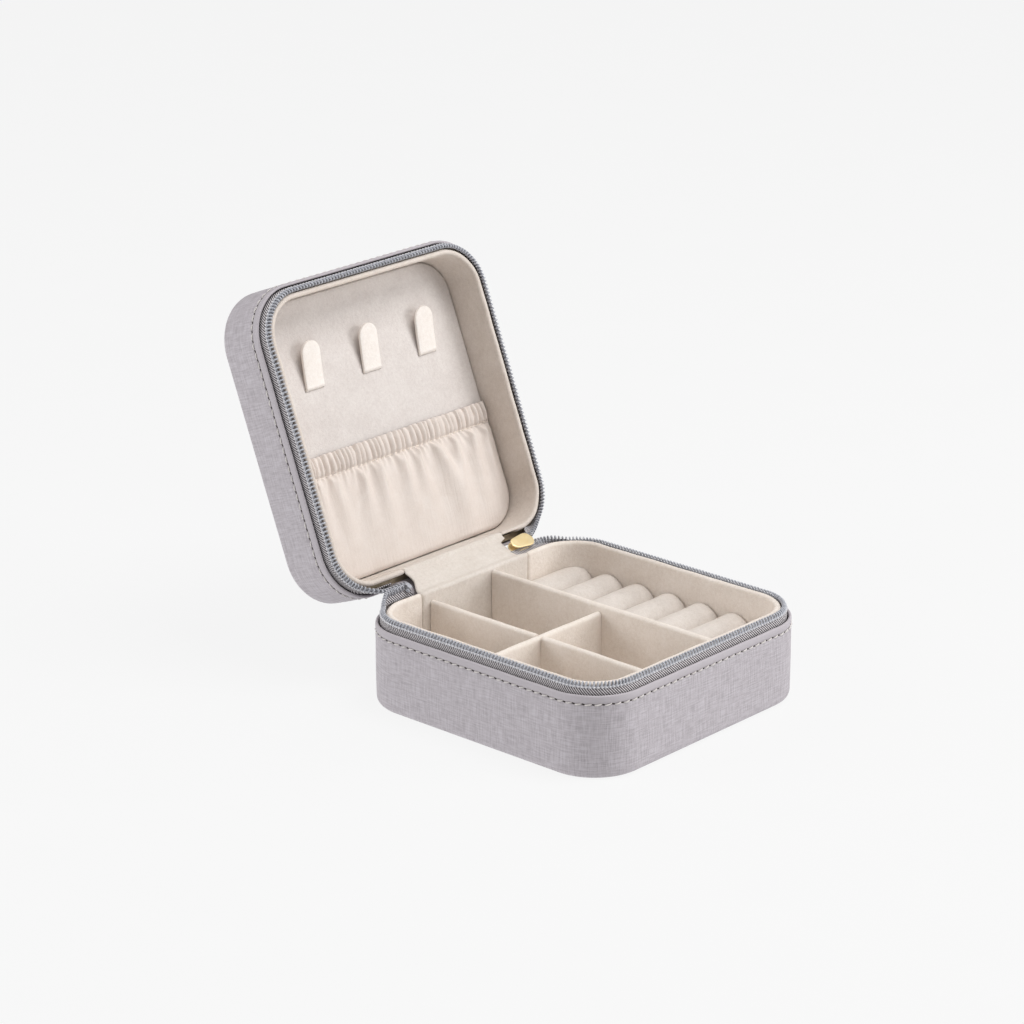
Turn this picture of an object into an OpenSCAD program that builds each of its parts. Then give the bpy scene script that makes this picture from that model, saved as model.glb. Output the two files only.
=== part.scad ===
/* [Case] */
// Outside width of the closed case, side to side
case_w = 100; // [92:1:120]
// Outside depth of the closed case, front to hinge
case_d = 100; // [92:1:120]
// Overall height of the closed case
case_h = 50; // [46:0.5:60]
// Radius of the four vertical corners
corner_r = 17; // [13:0.5:20]
// Rounding of the bottom and top edges
edge_r = 2.2; // [1.8:0.1:3]
// Height of the base's outer cover
base_h = 26.4; // [25:0.1:30]
// Height left between the two covers for the zip
zip_gap = 6.2; // [5.6:0.1:7]

/* [Walls] */
// Thickness of the outer cover
skin_t = 0.9; // [0.7:0.1:1.1]
// Thickness of the stiffening board
board_t = 1.8; // [1.4:0.1:2]
// Thickness of the padded lining wall in the base
lining_t = 2; // [1.6:0.1:2.2]
// Height of the lining's rounded rim above the table
rim_z = 29; // [28:0.1:29.2]

/* [Compartments] */
// Thickness of a divider
divider_t = 2.2; // [1.8:0.1:3]
// Position of the tall divider, from the centre to the right
tall_x = 8; // [4:0.5:12]
// Position of the low divider, from the centre to the right
low_x = -20; // [-24:0.5:-12]
// Height of the top of the tall divider
tall_z = 28.3; // [26:0.1:28.6]
// Height of the top of the two low dividers
low_z = 26.1; // [22:0.1:27]

/* [Ring rolls] */
// Number of rolls in a row
roll_n = 7; // [7:1:7]
// Spacing of the rolls
roll_pitch = 12.9; // [12.6:0.1:12.9]
// Height of the top of a roll
roll_z = 20.8; // [18:0.1:22]

/* [Lid] */
// Height of the padded panel's face above the table when the case is closed
panel_z = 43.2; // [42:0.1:44]
// Spacing of the three necklace hooks
hook_pitch = 25.4; // [22:0.2:27]
// Width of a hook
hook_w = 7.8; // [6:0.2:9]
// Length of a hook
hook_l = 15; // [12:0.5:17]
// Height of the pocket, from its elastic edge to the hinge
pocket_h = 40.6; // [34:0.2:44]

/* [Hinge] */
// Distance of the hinge axis behind the centre
hinge_y = 51.9; // [51.9:0.1:51.9]
// Height of the hinge axis
hinge_z = 28; // [28:0.1:28]
// How far the lid leans back in the stored position
open_angle = 111.5; // [111.5:0.5:111.5]
// Half width of the fabric strip across the hinge
strip_hw = 24.4; // [24:0.1:24.6]

/* [Zip] */
// Radius of the coil's section
coil_r = 0.7; // [0.6:0.05:0.7]
// Length of the slider
slider_l = 10; // [9:0.5:10.5]
// Length of the pull tab
pull_l = 19; // [14:0.5:22]

/* [Hidden] */
$fn = 64;
eps = 0.01;
parting = base_h + zip_gap / 2;
lid_edge = base_h + zip_gap;
in_tape = skin_t + 0.05;
in_board = skin_t + 0.5;
in_lining = in_board + board_t + 0.1;
in_room = in_lining + lining_t;
lid_lining_t = lining_t - 0.3;
in_lid_room = in_lining + lid_lining_t;
board_z = skin_t + 0.05;
floor_z = board_z + board_t + 0.1;
pad_z = floor_z + 1.35;
coil_in = 2.3;
coil_z = parting - 0.05 - coil_r;
tape_in = coil_in - coil_r - 0.05;
zip_left = -27;
zip_right = 32.4;
spine_right = 19.6;
leather = [0.76, 0.735, 0.765];
velvet = [0.87, 0.82, 0.76];
board_col = [0.62, 0.55, 0.45];
tape_col = [0.62, 0.61, 0.63];
coil_col = [0.7, 0.7, 0.73];
thread_col = [0.9, 0.89, 0.88];
gold = [0.93, 0.78, 0.47];

// The lid's pieces are drawn as they lie on the closed case, then swung open
module swung_open(a = open_angle) {
    translate([0, hinge_y, hinge_z]) rotate([-a, 0, 0]) translate([0, -hinge_y, -hinge_z]) children();
}
// The lid is the base turned over: heights run down from the top
module from_top() { translate([0, 0, case_h]) mirror([0, 0, 1]) children(); }

// A flat plate with round corners, set in from the outside face
module plate(inset, z0, z1) {
    w = case_w - 2 * inset;
    d = case_d - 2 * inset;
    r = corner_r - inset;
    translate([0, 0, z0]) {
        translate([-w / 2 + r, -d / 2, 0]) cube([w - 2 * r, d, z1 - z0]);
        translate([-w / 2, -d / 2 + r, 0]) cube([w, d - 2 * r, z1 - z0]);
        for (sx = [-1, 1], sy = [-1, 1]) translate([sx * (w / 2 - r), sy * (d / 2 - r), 0]) cylinder(r = r, h = z1 - z0);
    }
}
// Sweeps a wall section (x = distance in from the outside, y = height) round the case.
// g0 and g1 bound a gap in the rear wall.
module band(g0 = 0, g1 = 0) {
    lw = case_w - 2 * corner_r;
    ld = case_d - 2 * corner_r;
    // front
    translate([-lw / 2, -case_d / 2, 0]) rotate([90, 0, 90]) linear_extrude(lw) children();
    // right
    translate([case_w / 2, -ld / 2, 0]) rotate([90, 0, 180]) linear_extrude(ld) children();
    // left
    translate([-case_w / 2, ld / 2, 0]) rotate([90, 0, 0]) linear_extrude(ld) children();
    // rear, in one or two pieces
    if (g1 > g0) {
        translate([lw / 2, case_d / 2, 0]) rotate([90, 0, -90]) linear_extrude(lw / 2 - g1) children();
        translate([g0, case_d / 2, 0]) rotate([90, 0, -90]) linear_extrude(lw / 2 + g0) children();
    } else translate([lw / 2, case_d / 2, 0]) rotate([90, 0, -90]) linear_extrude(lw) children();
    for (k = [0:3]) {
        sx = (k == 0 || k == 3) ? 1 : -1;
        sy = k < 2 ? 1 : -1;
        translate([sx * lw / 2, sy * ld / 2, 0]) rotate([0, 0, 90 * k]) rotate_extrude(angle = 90)
            translate([corner_r, 0]) mirror([1, 0]) children();
    }
}
module bar2(x0, x1, y0, y1) { translate([x0, y0]) square([x1 - x0, y1 - y0]); }
// A bar section with one round end at the top
module rim2(x0, x1, y0, y1) {
    r = (x1 - x0) / 2;
    bar2(x0, x1, y0, y1 - r);
    translate([x0 + r, y1 - r]) circle(r);
}
// The outer cover: a wall, a rounded edge and a groove where the stitches sink in
module cover(h) {
    difference() {
        union() {
            band() {
                bar2(0, skin_t, edge_r, h);
                intersection() {
                    translate([edge_r, edge_r]) difference() { circle(edge_r); circle(edge_r - skin_t); }
                    bar2(0, edge_r + eps, 0, edge_r + eps);
                }
            }
            plate(edge_r, 0, skin_t);
        }
        band() translate([0.1, h - 2.7]) circle(0.27);
    }
}
module stitch_ring(h) { band() translate([0.1, h - 2.7]) circle(0.24, $fn = 24); }
module tape(h, p) {
    band(zip_left, zip_right) polygon([[in_tape, h - 7.4], [in_tape + 0.4, h - 7.4], [in_tape + 0.4, h - 0.1],
        [tape_in + 0.35, p - 1.75], [tape_in + 0.1, p - 1.5], [in_tape, h + 0.1]]);
}
module coil(z, left = zip_left) { band(left, zip_right) translate([coil_in, z]) circle(coil_r, $fn = 32); }

// ---- base ----
module base_cover() { color(leather) cover(base_h); }
module base_bottom_board() { color(board_col) plate(edge_r + 0.15, board_z, board_z + board_t); }
module base_wall_board() { color(board_col) band() bar2(in_board, in_board + board_t, floor_z - 0.05, base_h - 0.2); }
// The linings are hollowed from behind where the parked slider lies
slot_x0 = 21.1;
slot_x1 = 32;
module base_lining() {
    color(velvet) difference() {
        band(-strip_hw - 0.1, strip_hw + 0.1) rim2(in_lining, in_room, floor_z, rim_z);
        translate([slot_x0, case_d / 2 - 4.15, base_h + 0.1]) cube([slot_x1 - slot_x0, 3, 6]);
    }
}
module base_floor() { color(velvet) plate(in_room + 0.15, floor_z, pad_z); }
module divider_section(z1) { rim2(-divider_t / 2, divider_t / 2, pad_z + 0.1, z1); }
module divider_tall() {
    l = case_d - 2 * in_room - 0.3;
    color(velvet) translate([tall_x, l / 2, 0]) rotate([90, 0, 0]) linear_extrude(l) divider_section(tall_z);
}
module divider_low() {
    l = case_d - 2 * in_room - 0.3;
    color(velvet) difference() {
        translate([low_x, l / 2, 0]) rotate([90, 0, 0]) linear_extrude(l) divider_section(low_z);
        translate([low_x - 5, -divider_t / 2 - 0.08, (low_z + pad_z) / 2]) cube([10, divider_t + 0.16, 30]);
    }
}
module divider_cross() {
    x0 = -case_w / 2 + in_room + 0.15;
    x1 = tall_x - divider_t / 2 - 0.1;
    color(velvet) difference() {
        translate([x0, 0, 0]) rotate([90, 0, 90]) linear_extrude(x1 - x0) divider_section(low_z);
        translate([low_x - divider_t / 2 - 0.08, -5, 0]) cube([divider_t + 0.16, 10, (low_z + pad_z) / 2 - 0.1]);
    }
}
// Rolls are counted from the hinge; the first one is squeezed against the rear wall
module ring_roll(k) {
    r = (roll_pitch - 0.2) / 2;
    y = 27.6 - roll_pitch * (k - 2);
    x0 = tall_x + divider_t / 2 + 0.15;
    color(velvet) intersection() {
        translate([x0, y, 0]) rotate([90, 0, 90]) linear_extrude(case_w / 2 - in_room - 0.15 - x0) {
            bar2(-r, r, pad_z + 0.1, roll_z - r);
            translate([0, roll_z - r]) circle(r);
        }
        plate(in_room + 0.2, pad_z, rim_z);
    }
}
module ring_roll_1() { ring_roll(1); }
module ring_roll_2() { ring_roll(2); }
module ring_roll_3() { ring_roll(3); }
module ring_roll_4() { ring_roll(4); }
module ring_roll_5() { ring_roll(5); }
module ring_roll_6() { ring_roll(6); }
module ring_roll_7() { ring_roll(7); }
module base_zip_tape() { color(tape_col) tape(base_h, parting); }
module base_zip_coil() { color(coil_col) coil(coil_z); }
module base_stitching() { color(thread_col) stitch_ring(base_h); }

// ---- hinge ----
// A point given on the closed lid, as [y, z] in the open position
function opened(p, a = open_angle) = let (y = p[0] - hinge_y, z = p[1] - hinge_z)
    [hinge_y + y * cos(a) + z * sin(a), hinge_z - y * sin(a) + z * cos(a)];
function turned(v, a = open_angle) = [v[0] * cos(a) + v[1] * sin(a), -v[0] * sin(a) + v[1] * cos(a)];
function bez(a, b, c, d, t) = a * pow(1 - t, 3) + b * 3 * t * pow(1 - t, 2) + c * 3 * t * t * (1 - t) + d * pow(t, 3);
// Points of a strip that leaves the base at p going up and enters the lid at q (closed position)
function bridge(p, q, k, n = 10) = [for (i = [0:n]) bez([p[0], p[1]], [p[0], p[1]] + [0, k],
    opened(q) - turned([0, 1]) * k, opened(q), i / n)];
module strip(outer, inner, x0, x1) {
    translate([x0, 0, 0]) rotate([90, 0, 90]) linear_extrude(x1 - x0)
        polygon(concat(outer, [for (i = [len(inner) - 1:-1:0]) inner[i]]));
}
module hinge_spine() {
    yo = case_d / 2 - in_tape;
    yi = yo - 0.4;
    color(leather) strip(
        concat([[yo, base_h - 7]], bridge([yo, base_h - 0.2], [yo, lid_edge + 0.2], 1.6), [opened([yo, lid_edge + 7])]),
        concat([[yi, base_h - 7]], bridge([yi, base_h - 0.1], [yi, lid_edge + 0.1], 1.9), [opened([yi, lid_edge + 7])]),
        zip_left + 0.5, spine_right);
}
module hinge_lining() {
    yo = case_d / 2 - in_lining;
    yb = case_d / 2 - in_room;
    yl = case_d / 2 - in_lid_room;
    lid_rim = 2 * parting - rim_z;
    color(velvet) difference() {
        strip(
            concat([[yo, floor_z]], bridge([yo, rim_z - 0.9], [yo, lid_rim + 0.9], 1.2), [opened([yo, panel_z + 2.6])]),
            concat([[yb, floor_z]], bridge([yb, rim_z - 0.6], [yl, lid_rim + 0.6], 2.6), [opened([yl, panel_z + 2.6])]),
            -strip_hw, strip_hw);
        // notch at the right end, where the slider parks
        intersection() {
            translate([slot_x0, 30, rim_z - 0.4]) cube([20, 50, 50]);
            swung_open() translate([slot_x0, 20, lid_rim + 1.4 - 50]) cube([20, 50, 50]);
        }
        translate([slot_x0, case_d / 2 - 4.15, base_h + 0.1]) cube([20, 3, rim_z - base_h]);
        swung_open() translate([slot_x0, case_d / 2 - 4.55, lid_rim]) cube([20, 5, lid_edge - lid_rim - 0.1]);
    }
}

// ---- lid ----
lid_h = case_h - lid_edge;
lid_pad_z = panel_z + 2.8;
module lid_cover() { color(leather) swung_open() from_top() cover(lid_h); }
module lid_top_board() { color(board_col) swung_open() from_top() plate(edge_r + 0.15, board_z, board_z + board_t); }
module lid_wall_board() { color(board_col) swung_open() from_top() band() bar2(in_board, in_board + board_t, floor_z - 0.05, lid_h - 0.2); }
module lid_lining() {
    color(velvet) swung_open() difference() {
        from_top() band(-strip_hw - 0.1, strip_hw + 0.1) rim2(in_lining, in_lid_room, floor_z, case_h - 2 * parting + rim_z);
        translate([slot_x0, case_d / 2 - 4.55, lid_edge - 6]) cube([slot_x1 - slot_x0, 5, 5.9]);
    }
}
module lid_panel() {
    color(velvet) swung_open() difference() {
        plate(in_lid_room + 0.15, panel_z, lid_pad_z);
        for (k = [-1:1]) translate([1.6 + k * hook_pitch - hook_w / 2 - 0.2, -16.9, panel_z - 1]) cube([hook_w + 0.4, 0.8, 2.4]);
    }
}
// A flat tab with a round free end; its root turns into a slit of the panel
module hook(k) {
    t = 1;
    color(velvet) swung_open() translate([1.6 + k * hook_pitch, -16.5, panel_z]) {
        translate([-hook_w / 2, -0.2, 0.05]) cube([hook_w, t * 0.5, 1.2]);
        rotate([13, 0, 0]) translate([0, 0, -t - 0.35]) {
            translate([-hook_w / 2, -hook_l + hook_w / 2, 0]) cube([hook_w, hook_l - hook_w / 2 + 0.2, t]);
            translate([0, -hook_l + hook_w / 2, 0]) cylinder(r = hook_w / 2, h = t);
        }
        translate([-hook_w / 2, -0.2, -t - 0.2]) cube([hook_w, t * 0.5, t + 0.4]);
    }
}
module hook_left() { hook(-1); }
module hook_centre() { hook(0); }
module hook_right() { hook(1); }
pocket_y1 = case_d / 2 - in_lid_room - 0.3;
pocket_y0 = pocket_y1 - pocket_h;
module pocket_slab(inset, y0, y1, z0, z1) {
    intersection() {
        plate(in_lid_room + inset, z0, z1);
        translate([-80, y0, 0]) cube([160, y1 - y0, 90]);
    }
}
module pocket() {
    color([0.9, 0.83, 0.76]) swung_open() difference() {
        union() {
            pocket_slab(0.3, pocket_y0 + 7.5, pocket_y1, panel_z - 2.6, panel_z - 0.1);
            pocket_slab(0.3, pocket_y0, pocket_y0 + 7.5, panel_z - 3.2, panel_z - 0.1);
        }
        translate([-70, pocket_y0 + 1.4, panel_z - 2.2]) cube([140, 5.2, 1]);
    }
}
module pocket_elastic() {
    hw = case_w / 2 - in_lid_room - 0.4;
    color([0.93, 0.92, 0.9]) swung_open() translate([-hw, pocket_y0 + 1.6, panel_z - 2.1]) cube([2 * hw, 4.8, 0.8]);
}
module lid_zip_tape() { color(tape_col) swung_open() from_top() tape(lid_h, case_h - parting); }
module lid_zip_coil() { color(coil_col) swung_open() from_top() coil(case_h - parting - 0.05 - coil_r, zip_left - 1.3); }
module lid_stitching() { color(thread_col) swung_open() from_top() stitch_ring(lid_h); }

// ---- zip ----
// The slider rides between the two tapes, so it turns about half as far as the lid
slider_y = 49.85;
slider_z = 28.2;
slider_turn = 60;
slider_x = 26.6;
chain_y = case_d / 2 - coil_in;
pivot_y = 52;
pivot_x = slider_x - 1.2;
plate_r = 2.6;
plate_t = 0.56;
plate_off = coil_r + 0.14 + plate_t / 2;
module slider_swung() {
    translate([0, slider_y, slider_z]) rotate([-slider_turn, 0, 0]) translate([0, -slider_y, -slider_z]) children();
}
// Outline of a slider plate: broad shoulders at the right, a narrower tail at the left
module slider_plate(t) {
    rotate([90, 0, 0]) linear_extrude(t, center = true) {
        translate([slider_l / 2 - 3, 0]) circle(plate_r);
        translate([-slider_l / 2 + 2.2, 0]) circle(plate_r - 0.5);
        polygon([[slider_l / 2 - 3, plate_r], [slider_l / 2 - 3, -plate_r],
            [-slider_l / 2 + 2, 0.55 - plate_r], [-slider_l / 2 + 2, plate_r - 0.55]]);
    }
}
module zip_slider() {
    color(gold) slider_swung() translate([slider_x, chain_y, parting]) {
        // inner and outer plates
        translate([0, -plate_off, 0]) slider_plate(plate_t);
        translate([0, plate_off, 0]) slider_plate(plate_t);
        // wedge between the two coils
        translate([slider_l / 2 - 3, 0, 0]) rotate([90, 0, 0]) cylinder(r = 0.9, h = 2 * plate_off, center = true);
        // side lips that keep the coils in
        for (s = [-1, 1]) translate([-slider_l / 2 + 2.4, 0.35, s * (plate_r - 0.68) - 0.2]) cube([slider_l - 5.6, 0.6, 0.4]);
        // crown that holds the pull's pin
        for (s = [-1, 1]) translate([pivot_x - slider_x - 1.1, plate_off, s * 1.1 - 0.35]) cube([2.2, pivot_y - chain_y - plate_off + 0.6, 0.7]);
        translate([pivot_x - slider_x, pivot_y - chain_y, 0]) cylinder(r = 0.45, h = 2.4, center = true, $fn = 32);
    }
}
module zip_pull() {
    color(gold) slider_swung() translate([pivot_x, pivot_y, parting]) difference() {
        union() {
            // eye round the pin
            cylinder(r = 1.15, h = 1.2, center = true);
            translate([-0.5, 0.8, -0.6]) cube([1, 3, 1.2]);
            // tab
            translate([-0.5, 3.6, -1.7]) cube([1, pull_l - 5.4, 3.4]);
            translate([-0.5, pull_l - 1.8, 0]) rotate([0, 90, 0]) cylinder(r = 1.7, h = 1);
        }
        cylinder(r = 0.52, h = 4, center = true, $fn = 32);
    }
}
// Crimped stop where the coil ends beside the hinge strip
module zip_stops() {
    color(coil_col) translate([zip_left - 1.2, chain_y, coil_z - coil_r - 0.03]) difference() {
        translate([0, -0.9, 0]) cube([1.6, 1.8, 1.6]);
        translate([-1, -0.75, -1]) cube([4, 1.5, 2.46]);
    }
}

base_cover();
base_bottom_board();
base_wall_board();
base_lining();
base_floor();
divider_tall();
divider_low();
divider_cross();
ring_roll_1();
ring_roll_2();
ring_roll_3();
ring_roll_4();
ring_roll_5();
ring_roll_6();
ring_roll_7();
base_zip_tape();
base_zip_coil();
base_stitching();
hinge_spine();
hinge_lining();
lid_cover();
lid_top_board();
lid_wall_board();
lid_lining();
lid_panel();
hook_left();
hook_centre();
hook_right();
pocket();
pocket_elastic();
lid_zip_tape();
lid_zip_coil();
lid_stitching();
zip_stops();
zip_slider();
zip_pull();
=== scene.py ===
import bpy
import bmesh
import math
import random
import numpy as np
from mathutils import Matrix, Vector


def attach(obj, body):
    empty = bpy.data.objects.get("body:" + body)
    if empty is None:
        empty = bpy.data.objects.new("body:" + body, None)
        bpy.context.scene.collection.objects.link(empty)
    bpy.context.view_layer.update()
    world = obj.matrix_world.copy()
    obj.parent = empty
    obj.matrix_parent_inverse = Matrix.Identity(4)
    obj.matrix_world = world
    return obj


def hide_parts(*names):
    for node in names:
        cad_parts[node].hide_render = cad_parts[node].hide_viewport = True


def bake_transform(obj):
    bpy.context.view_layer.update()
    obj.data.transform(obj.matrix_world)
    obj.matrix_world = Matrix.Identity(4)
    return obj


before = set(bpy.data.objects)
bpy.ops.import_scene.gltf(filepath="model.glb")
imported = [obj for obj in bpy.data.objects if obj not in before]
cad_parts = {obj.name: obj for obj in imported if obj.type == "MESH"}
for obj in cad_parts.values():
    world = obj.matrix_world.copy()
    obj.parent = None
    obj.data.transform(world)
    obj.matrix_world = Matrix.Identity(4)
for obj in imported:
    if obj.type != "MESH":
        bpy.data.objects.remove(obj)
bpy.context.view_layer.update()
rng = np.random.default_rng(7)
random.seed(7)

MM = 0.001
PI = math.pi
HALF, CR = 50.0, 17.0          # half the case's side, corner radius
BASE_H, LID_E, TOP = 26.4, 32.6, 50.0
PART = 29.5                    # parting height
AY, AZ = 51.9, 28.0            # hinge axis
OPEN = math.radians(111.5)
SY, SZ = 49.85, 28.2           # slider's own axis
STURN = math.radians(60.0)
STRIP = 24.4
ARC = CR * PI / 2
RING = 4 * 66.0 + 4 * ARC


# ---------------------------------------------------------------- helpers
def turn(P, a, cy, cz):
    """Points (.., 3) in mm turned by a (opening direction) about a line along X."""
    P = np.asarray(P, float)
    y, z = P[..., 1] - cy, P[..., 2] - cz
    a = np.asarray(a, float)
    c, s = np.cos(a), np.sin(a)
    return np.stack([P[..., 0], cy + y * c + z * s, cz - y * s + z * c], -1)


def lid_open(P):
    return turn(P, OPEN, AY, AZ)


def same(P):
    return np.asarray(P, float)


def ring(s):
    """Point and outward normal on the case's outer face; s runs from the rear middle by the left side."""
    s = np.mod(np.asarray(s, float), RING)
    x, y, nx, ny = (np.zeros_like(s) for _ in range(4))
    c = HALF - CR
    legs = [("l", (0, HALF), (-1, 0), c, (0, 1)), ("a", (-c, c), 90), ("l", (-HALF, c), (0, -1), 2 * c, (-1, 0)),
            ("a", (-c, -c), 180), ("l", (-c, -HALF), (1, 0), 2 * c, (0, -1)), ("a", (c, -c), 270),
            ("l", (HALF, -c), (0, 1), 2 * c, (1, 0)), ("a", (c, c), 0), ("l", (c, HALF), (-1, 0), c + 1e-6, (0, 1))]
    at = 0.0
    for leg in legs:
        n = leg[3] if leg[0] == "l" else ARC
        m = (s >= at) & (s < at + n)
        t = s[m] - at
        if leg[0] == "l":
            x[m], y[m] = leg[1][0] + leg[2][0] * t, leg[1][1] + leg[2][1] * t
            nx[m], ny[m] = leg[4]
        else:
            a = np.radians(leg[2]) + t / CR
            x[m], y[m] = leg[1][0] + CR * np.cos(a), leg[1][1] + CR * np.sin(a)
            nx[m], ny[m] = np.cos(a), np.sin(a)
        at += n
    return x, y, nx, ny


def around(s, inset, z):
    x, y, nx, ny = ring(s)
    return np.stack([x - inset * nx, y - inset * ny, z + 0 * x], -1)


def mesh_obj(name, V, faces, mat, uv=None, uv2=None, smooth=40, mats=None, fmat=None):
    """V in mm. uv, uv2: one list of (u, v) in metres per face."""
    me = bpy.data.meshes.new(name)
    me.from_pydata([tuple(v) for v in (np.asarray(V, float) * MM)], [], [tuple(int(i) for i in f) for f in faces])
    for title, data in (("UVMap", uv), ("UVEdge", uv2)):
        if data is not None:
            layer = me.uv_layers.new(name=title)
            flat = np.array([c for face in data for p in face for c in p], np.float32)
            layer.data.foreach_set("uv", flat)
    o = bpy.data.objects.new(name, me)
    bpy.context.scene.collection.objects.link(o)
    me.materials.append(mat)
    for m in (mats or []):
        me.materials.append(m)
    if fmat is not None:
        me.polygons.foreach_set("material_index", np.array(fmat, np.int32))
    bm = bmesh.new()
    bm.from_mesh(me)
    bmesh.ops.recalc_face_normals(bm, faces=bm.faces)
    bm.to_mesh(me)
    bm.free()
    me.polygons.foreach_set("use_smooth", [True] * len(me.polygons))
    if smooth < 179:
        me.set_sharp_from_angle(angle=math.radians(smooth))
    me.update()
    return o


class Builder:
    """Collects grids of quads into one mesh."""

    def __init__(self):
        self.V, self.F, self.U, self.W, self.M, self.n = [], [], [], [], [], 0

    def grid(self, P, U, W=None, wrap_i=False, wrap_j=False, mat=0):
        """P: (I, J, 3). U, W: (I+wrap, J+wrap, 2)."""
        I, J = P.shape[:2]
        base = self.n
        self.V.append(P.reshape(-1, 3))
        self.n += I * J
        W = U if W is None else W
        for i in range(I if wrap_i else I - 1):
            i2 = (i + 1) % I
            for j in range(J if wrap_j else J - 1):
                j2 = (j + 1) % J
                self.F.append((base + i * J + j, base + i2 * J + j, base + i2 * J + j2, base + i * J + j2))
                self.U.append((U[i, j], U[i + 1, j], U[i + 1, j + 1], U[i, j + 1]))
                self.W.append((W[i, j], W[i + 1, j], W[i + 1, j + 1], W[i, j + 1]))
                self.M.append(mat)
        return base

    def face(self, idx, U, W=None, mat=0):
        self.F.append(tuple(idx))
        self.U.append(tuple(U))
        self.W.append(tuple(W if W is not None else U))
        self.M.append(mat)

    def make(self, name, mat, mats=None, smooth=40):
        return mesh_obj(name, np.concatenate(self.V), self.F, mat, self.U, self.W, smooth, mats,
                        self.M if mats else None)


def put(o, body, slot, *nodes):
    if body:
        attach(o, body)
    if nodes:
        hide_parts(*nodes)
    return o


def lengths(prof):
    d = np.hypot(*(np.diff(prof, axis=0).T))
    return np.concatenate([[0], np.cumsum(d)])


def band(name, prof, s0, s1, step, mat, place, closed_ring=False, vary=None, caps=True, smooth=40, edge=None):
    """Sweeps a closed section (list of (inset, z)) along the case's outline."""
    prof = np.asarray(prof, float)
    n = max(2, int(round((s1 - s0) / step)))
    S = np.linspace(s0, s1, n + 1)
    if closed_ring:
        S = S[:-1]
    J = len(prof)
    P = np.zeros((len(S), J, 3))
    for j in range(J):
        ins, z = prof[j, 0] + 0 * S, prof[j, 1] + 0 * S
        if vary is not None:
            di, dz = vary(S, j, prof[j])
            ins, z = ins + di, z + dz
        P[:, j] = around(S, ins, z)
    L = np.concatenate([lengths(prof), [lengths(prof)[-1] + np.hypot(*(prof[0] - prof[-1]))]])
    SS = np.concatenate([S, [s1]]) if closed_ring else S
    U = np.zeros((len(SS), J + 1, 2))
    U[..., 0] = SS[:, None] * MM
    U[..., 1] = L[None, :] * MM
    W = U.copy()
    if edge is not None:
        zz = np.concatenate([prof[:, 1], prof[:1, 1]])
        W[..., 1] = np.abs(edge - zz)[None, :] * MM
    b = Builder()
    base = b.grid(place(P), U, W, wrap_i=closed_ring, wrap_j=True)
    if caps and not closed_ring:
        for i in (0, len(S) - 1):
            b.face([base + i * J + j for j in range(J)], [(prof[j, 0] * MM, prof[j, 1] * MM) for j in range(J)])
    return b.make(name, mat, smooth=smooth)


def arc_pts(cx, cz, r, a0, a1, n, rz=None):
    a = np.radians(np.linspace(a0, a1, n))
    return [(cx + r * math.cos(t), cz + (rz or r) * math.sin(t)) for t in a]


def noise1(seed, period, n=6, lo=1):
    """A smooth periodic random function of s, about -1 to 1."""
    g = np.random.default_rng(seed)
    ks, ph, am = g.integers(lo, lo + 4 * n, n), g.uniform(0, 2 * PI, n), g.uniform(0.4, 1, n)
    am = am / am.sum() * 1.6
    return lambda s: sum(a * np.sin(2 * PI * k * np.asarray(s) / period + p) for k, p, a in zip(ks, ph, am))


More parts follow.
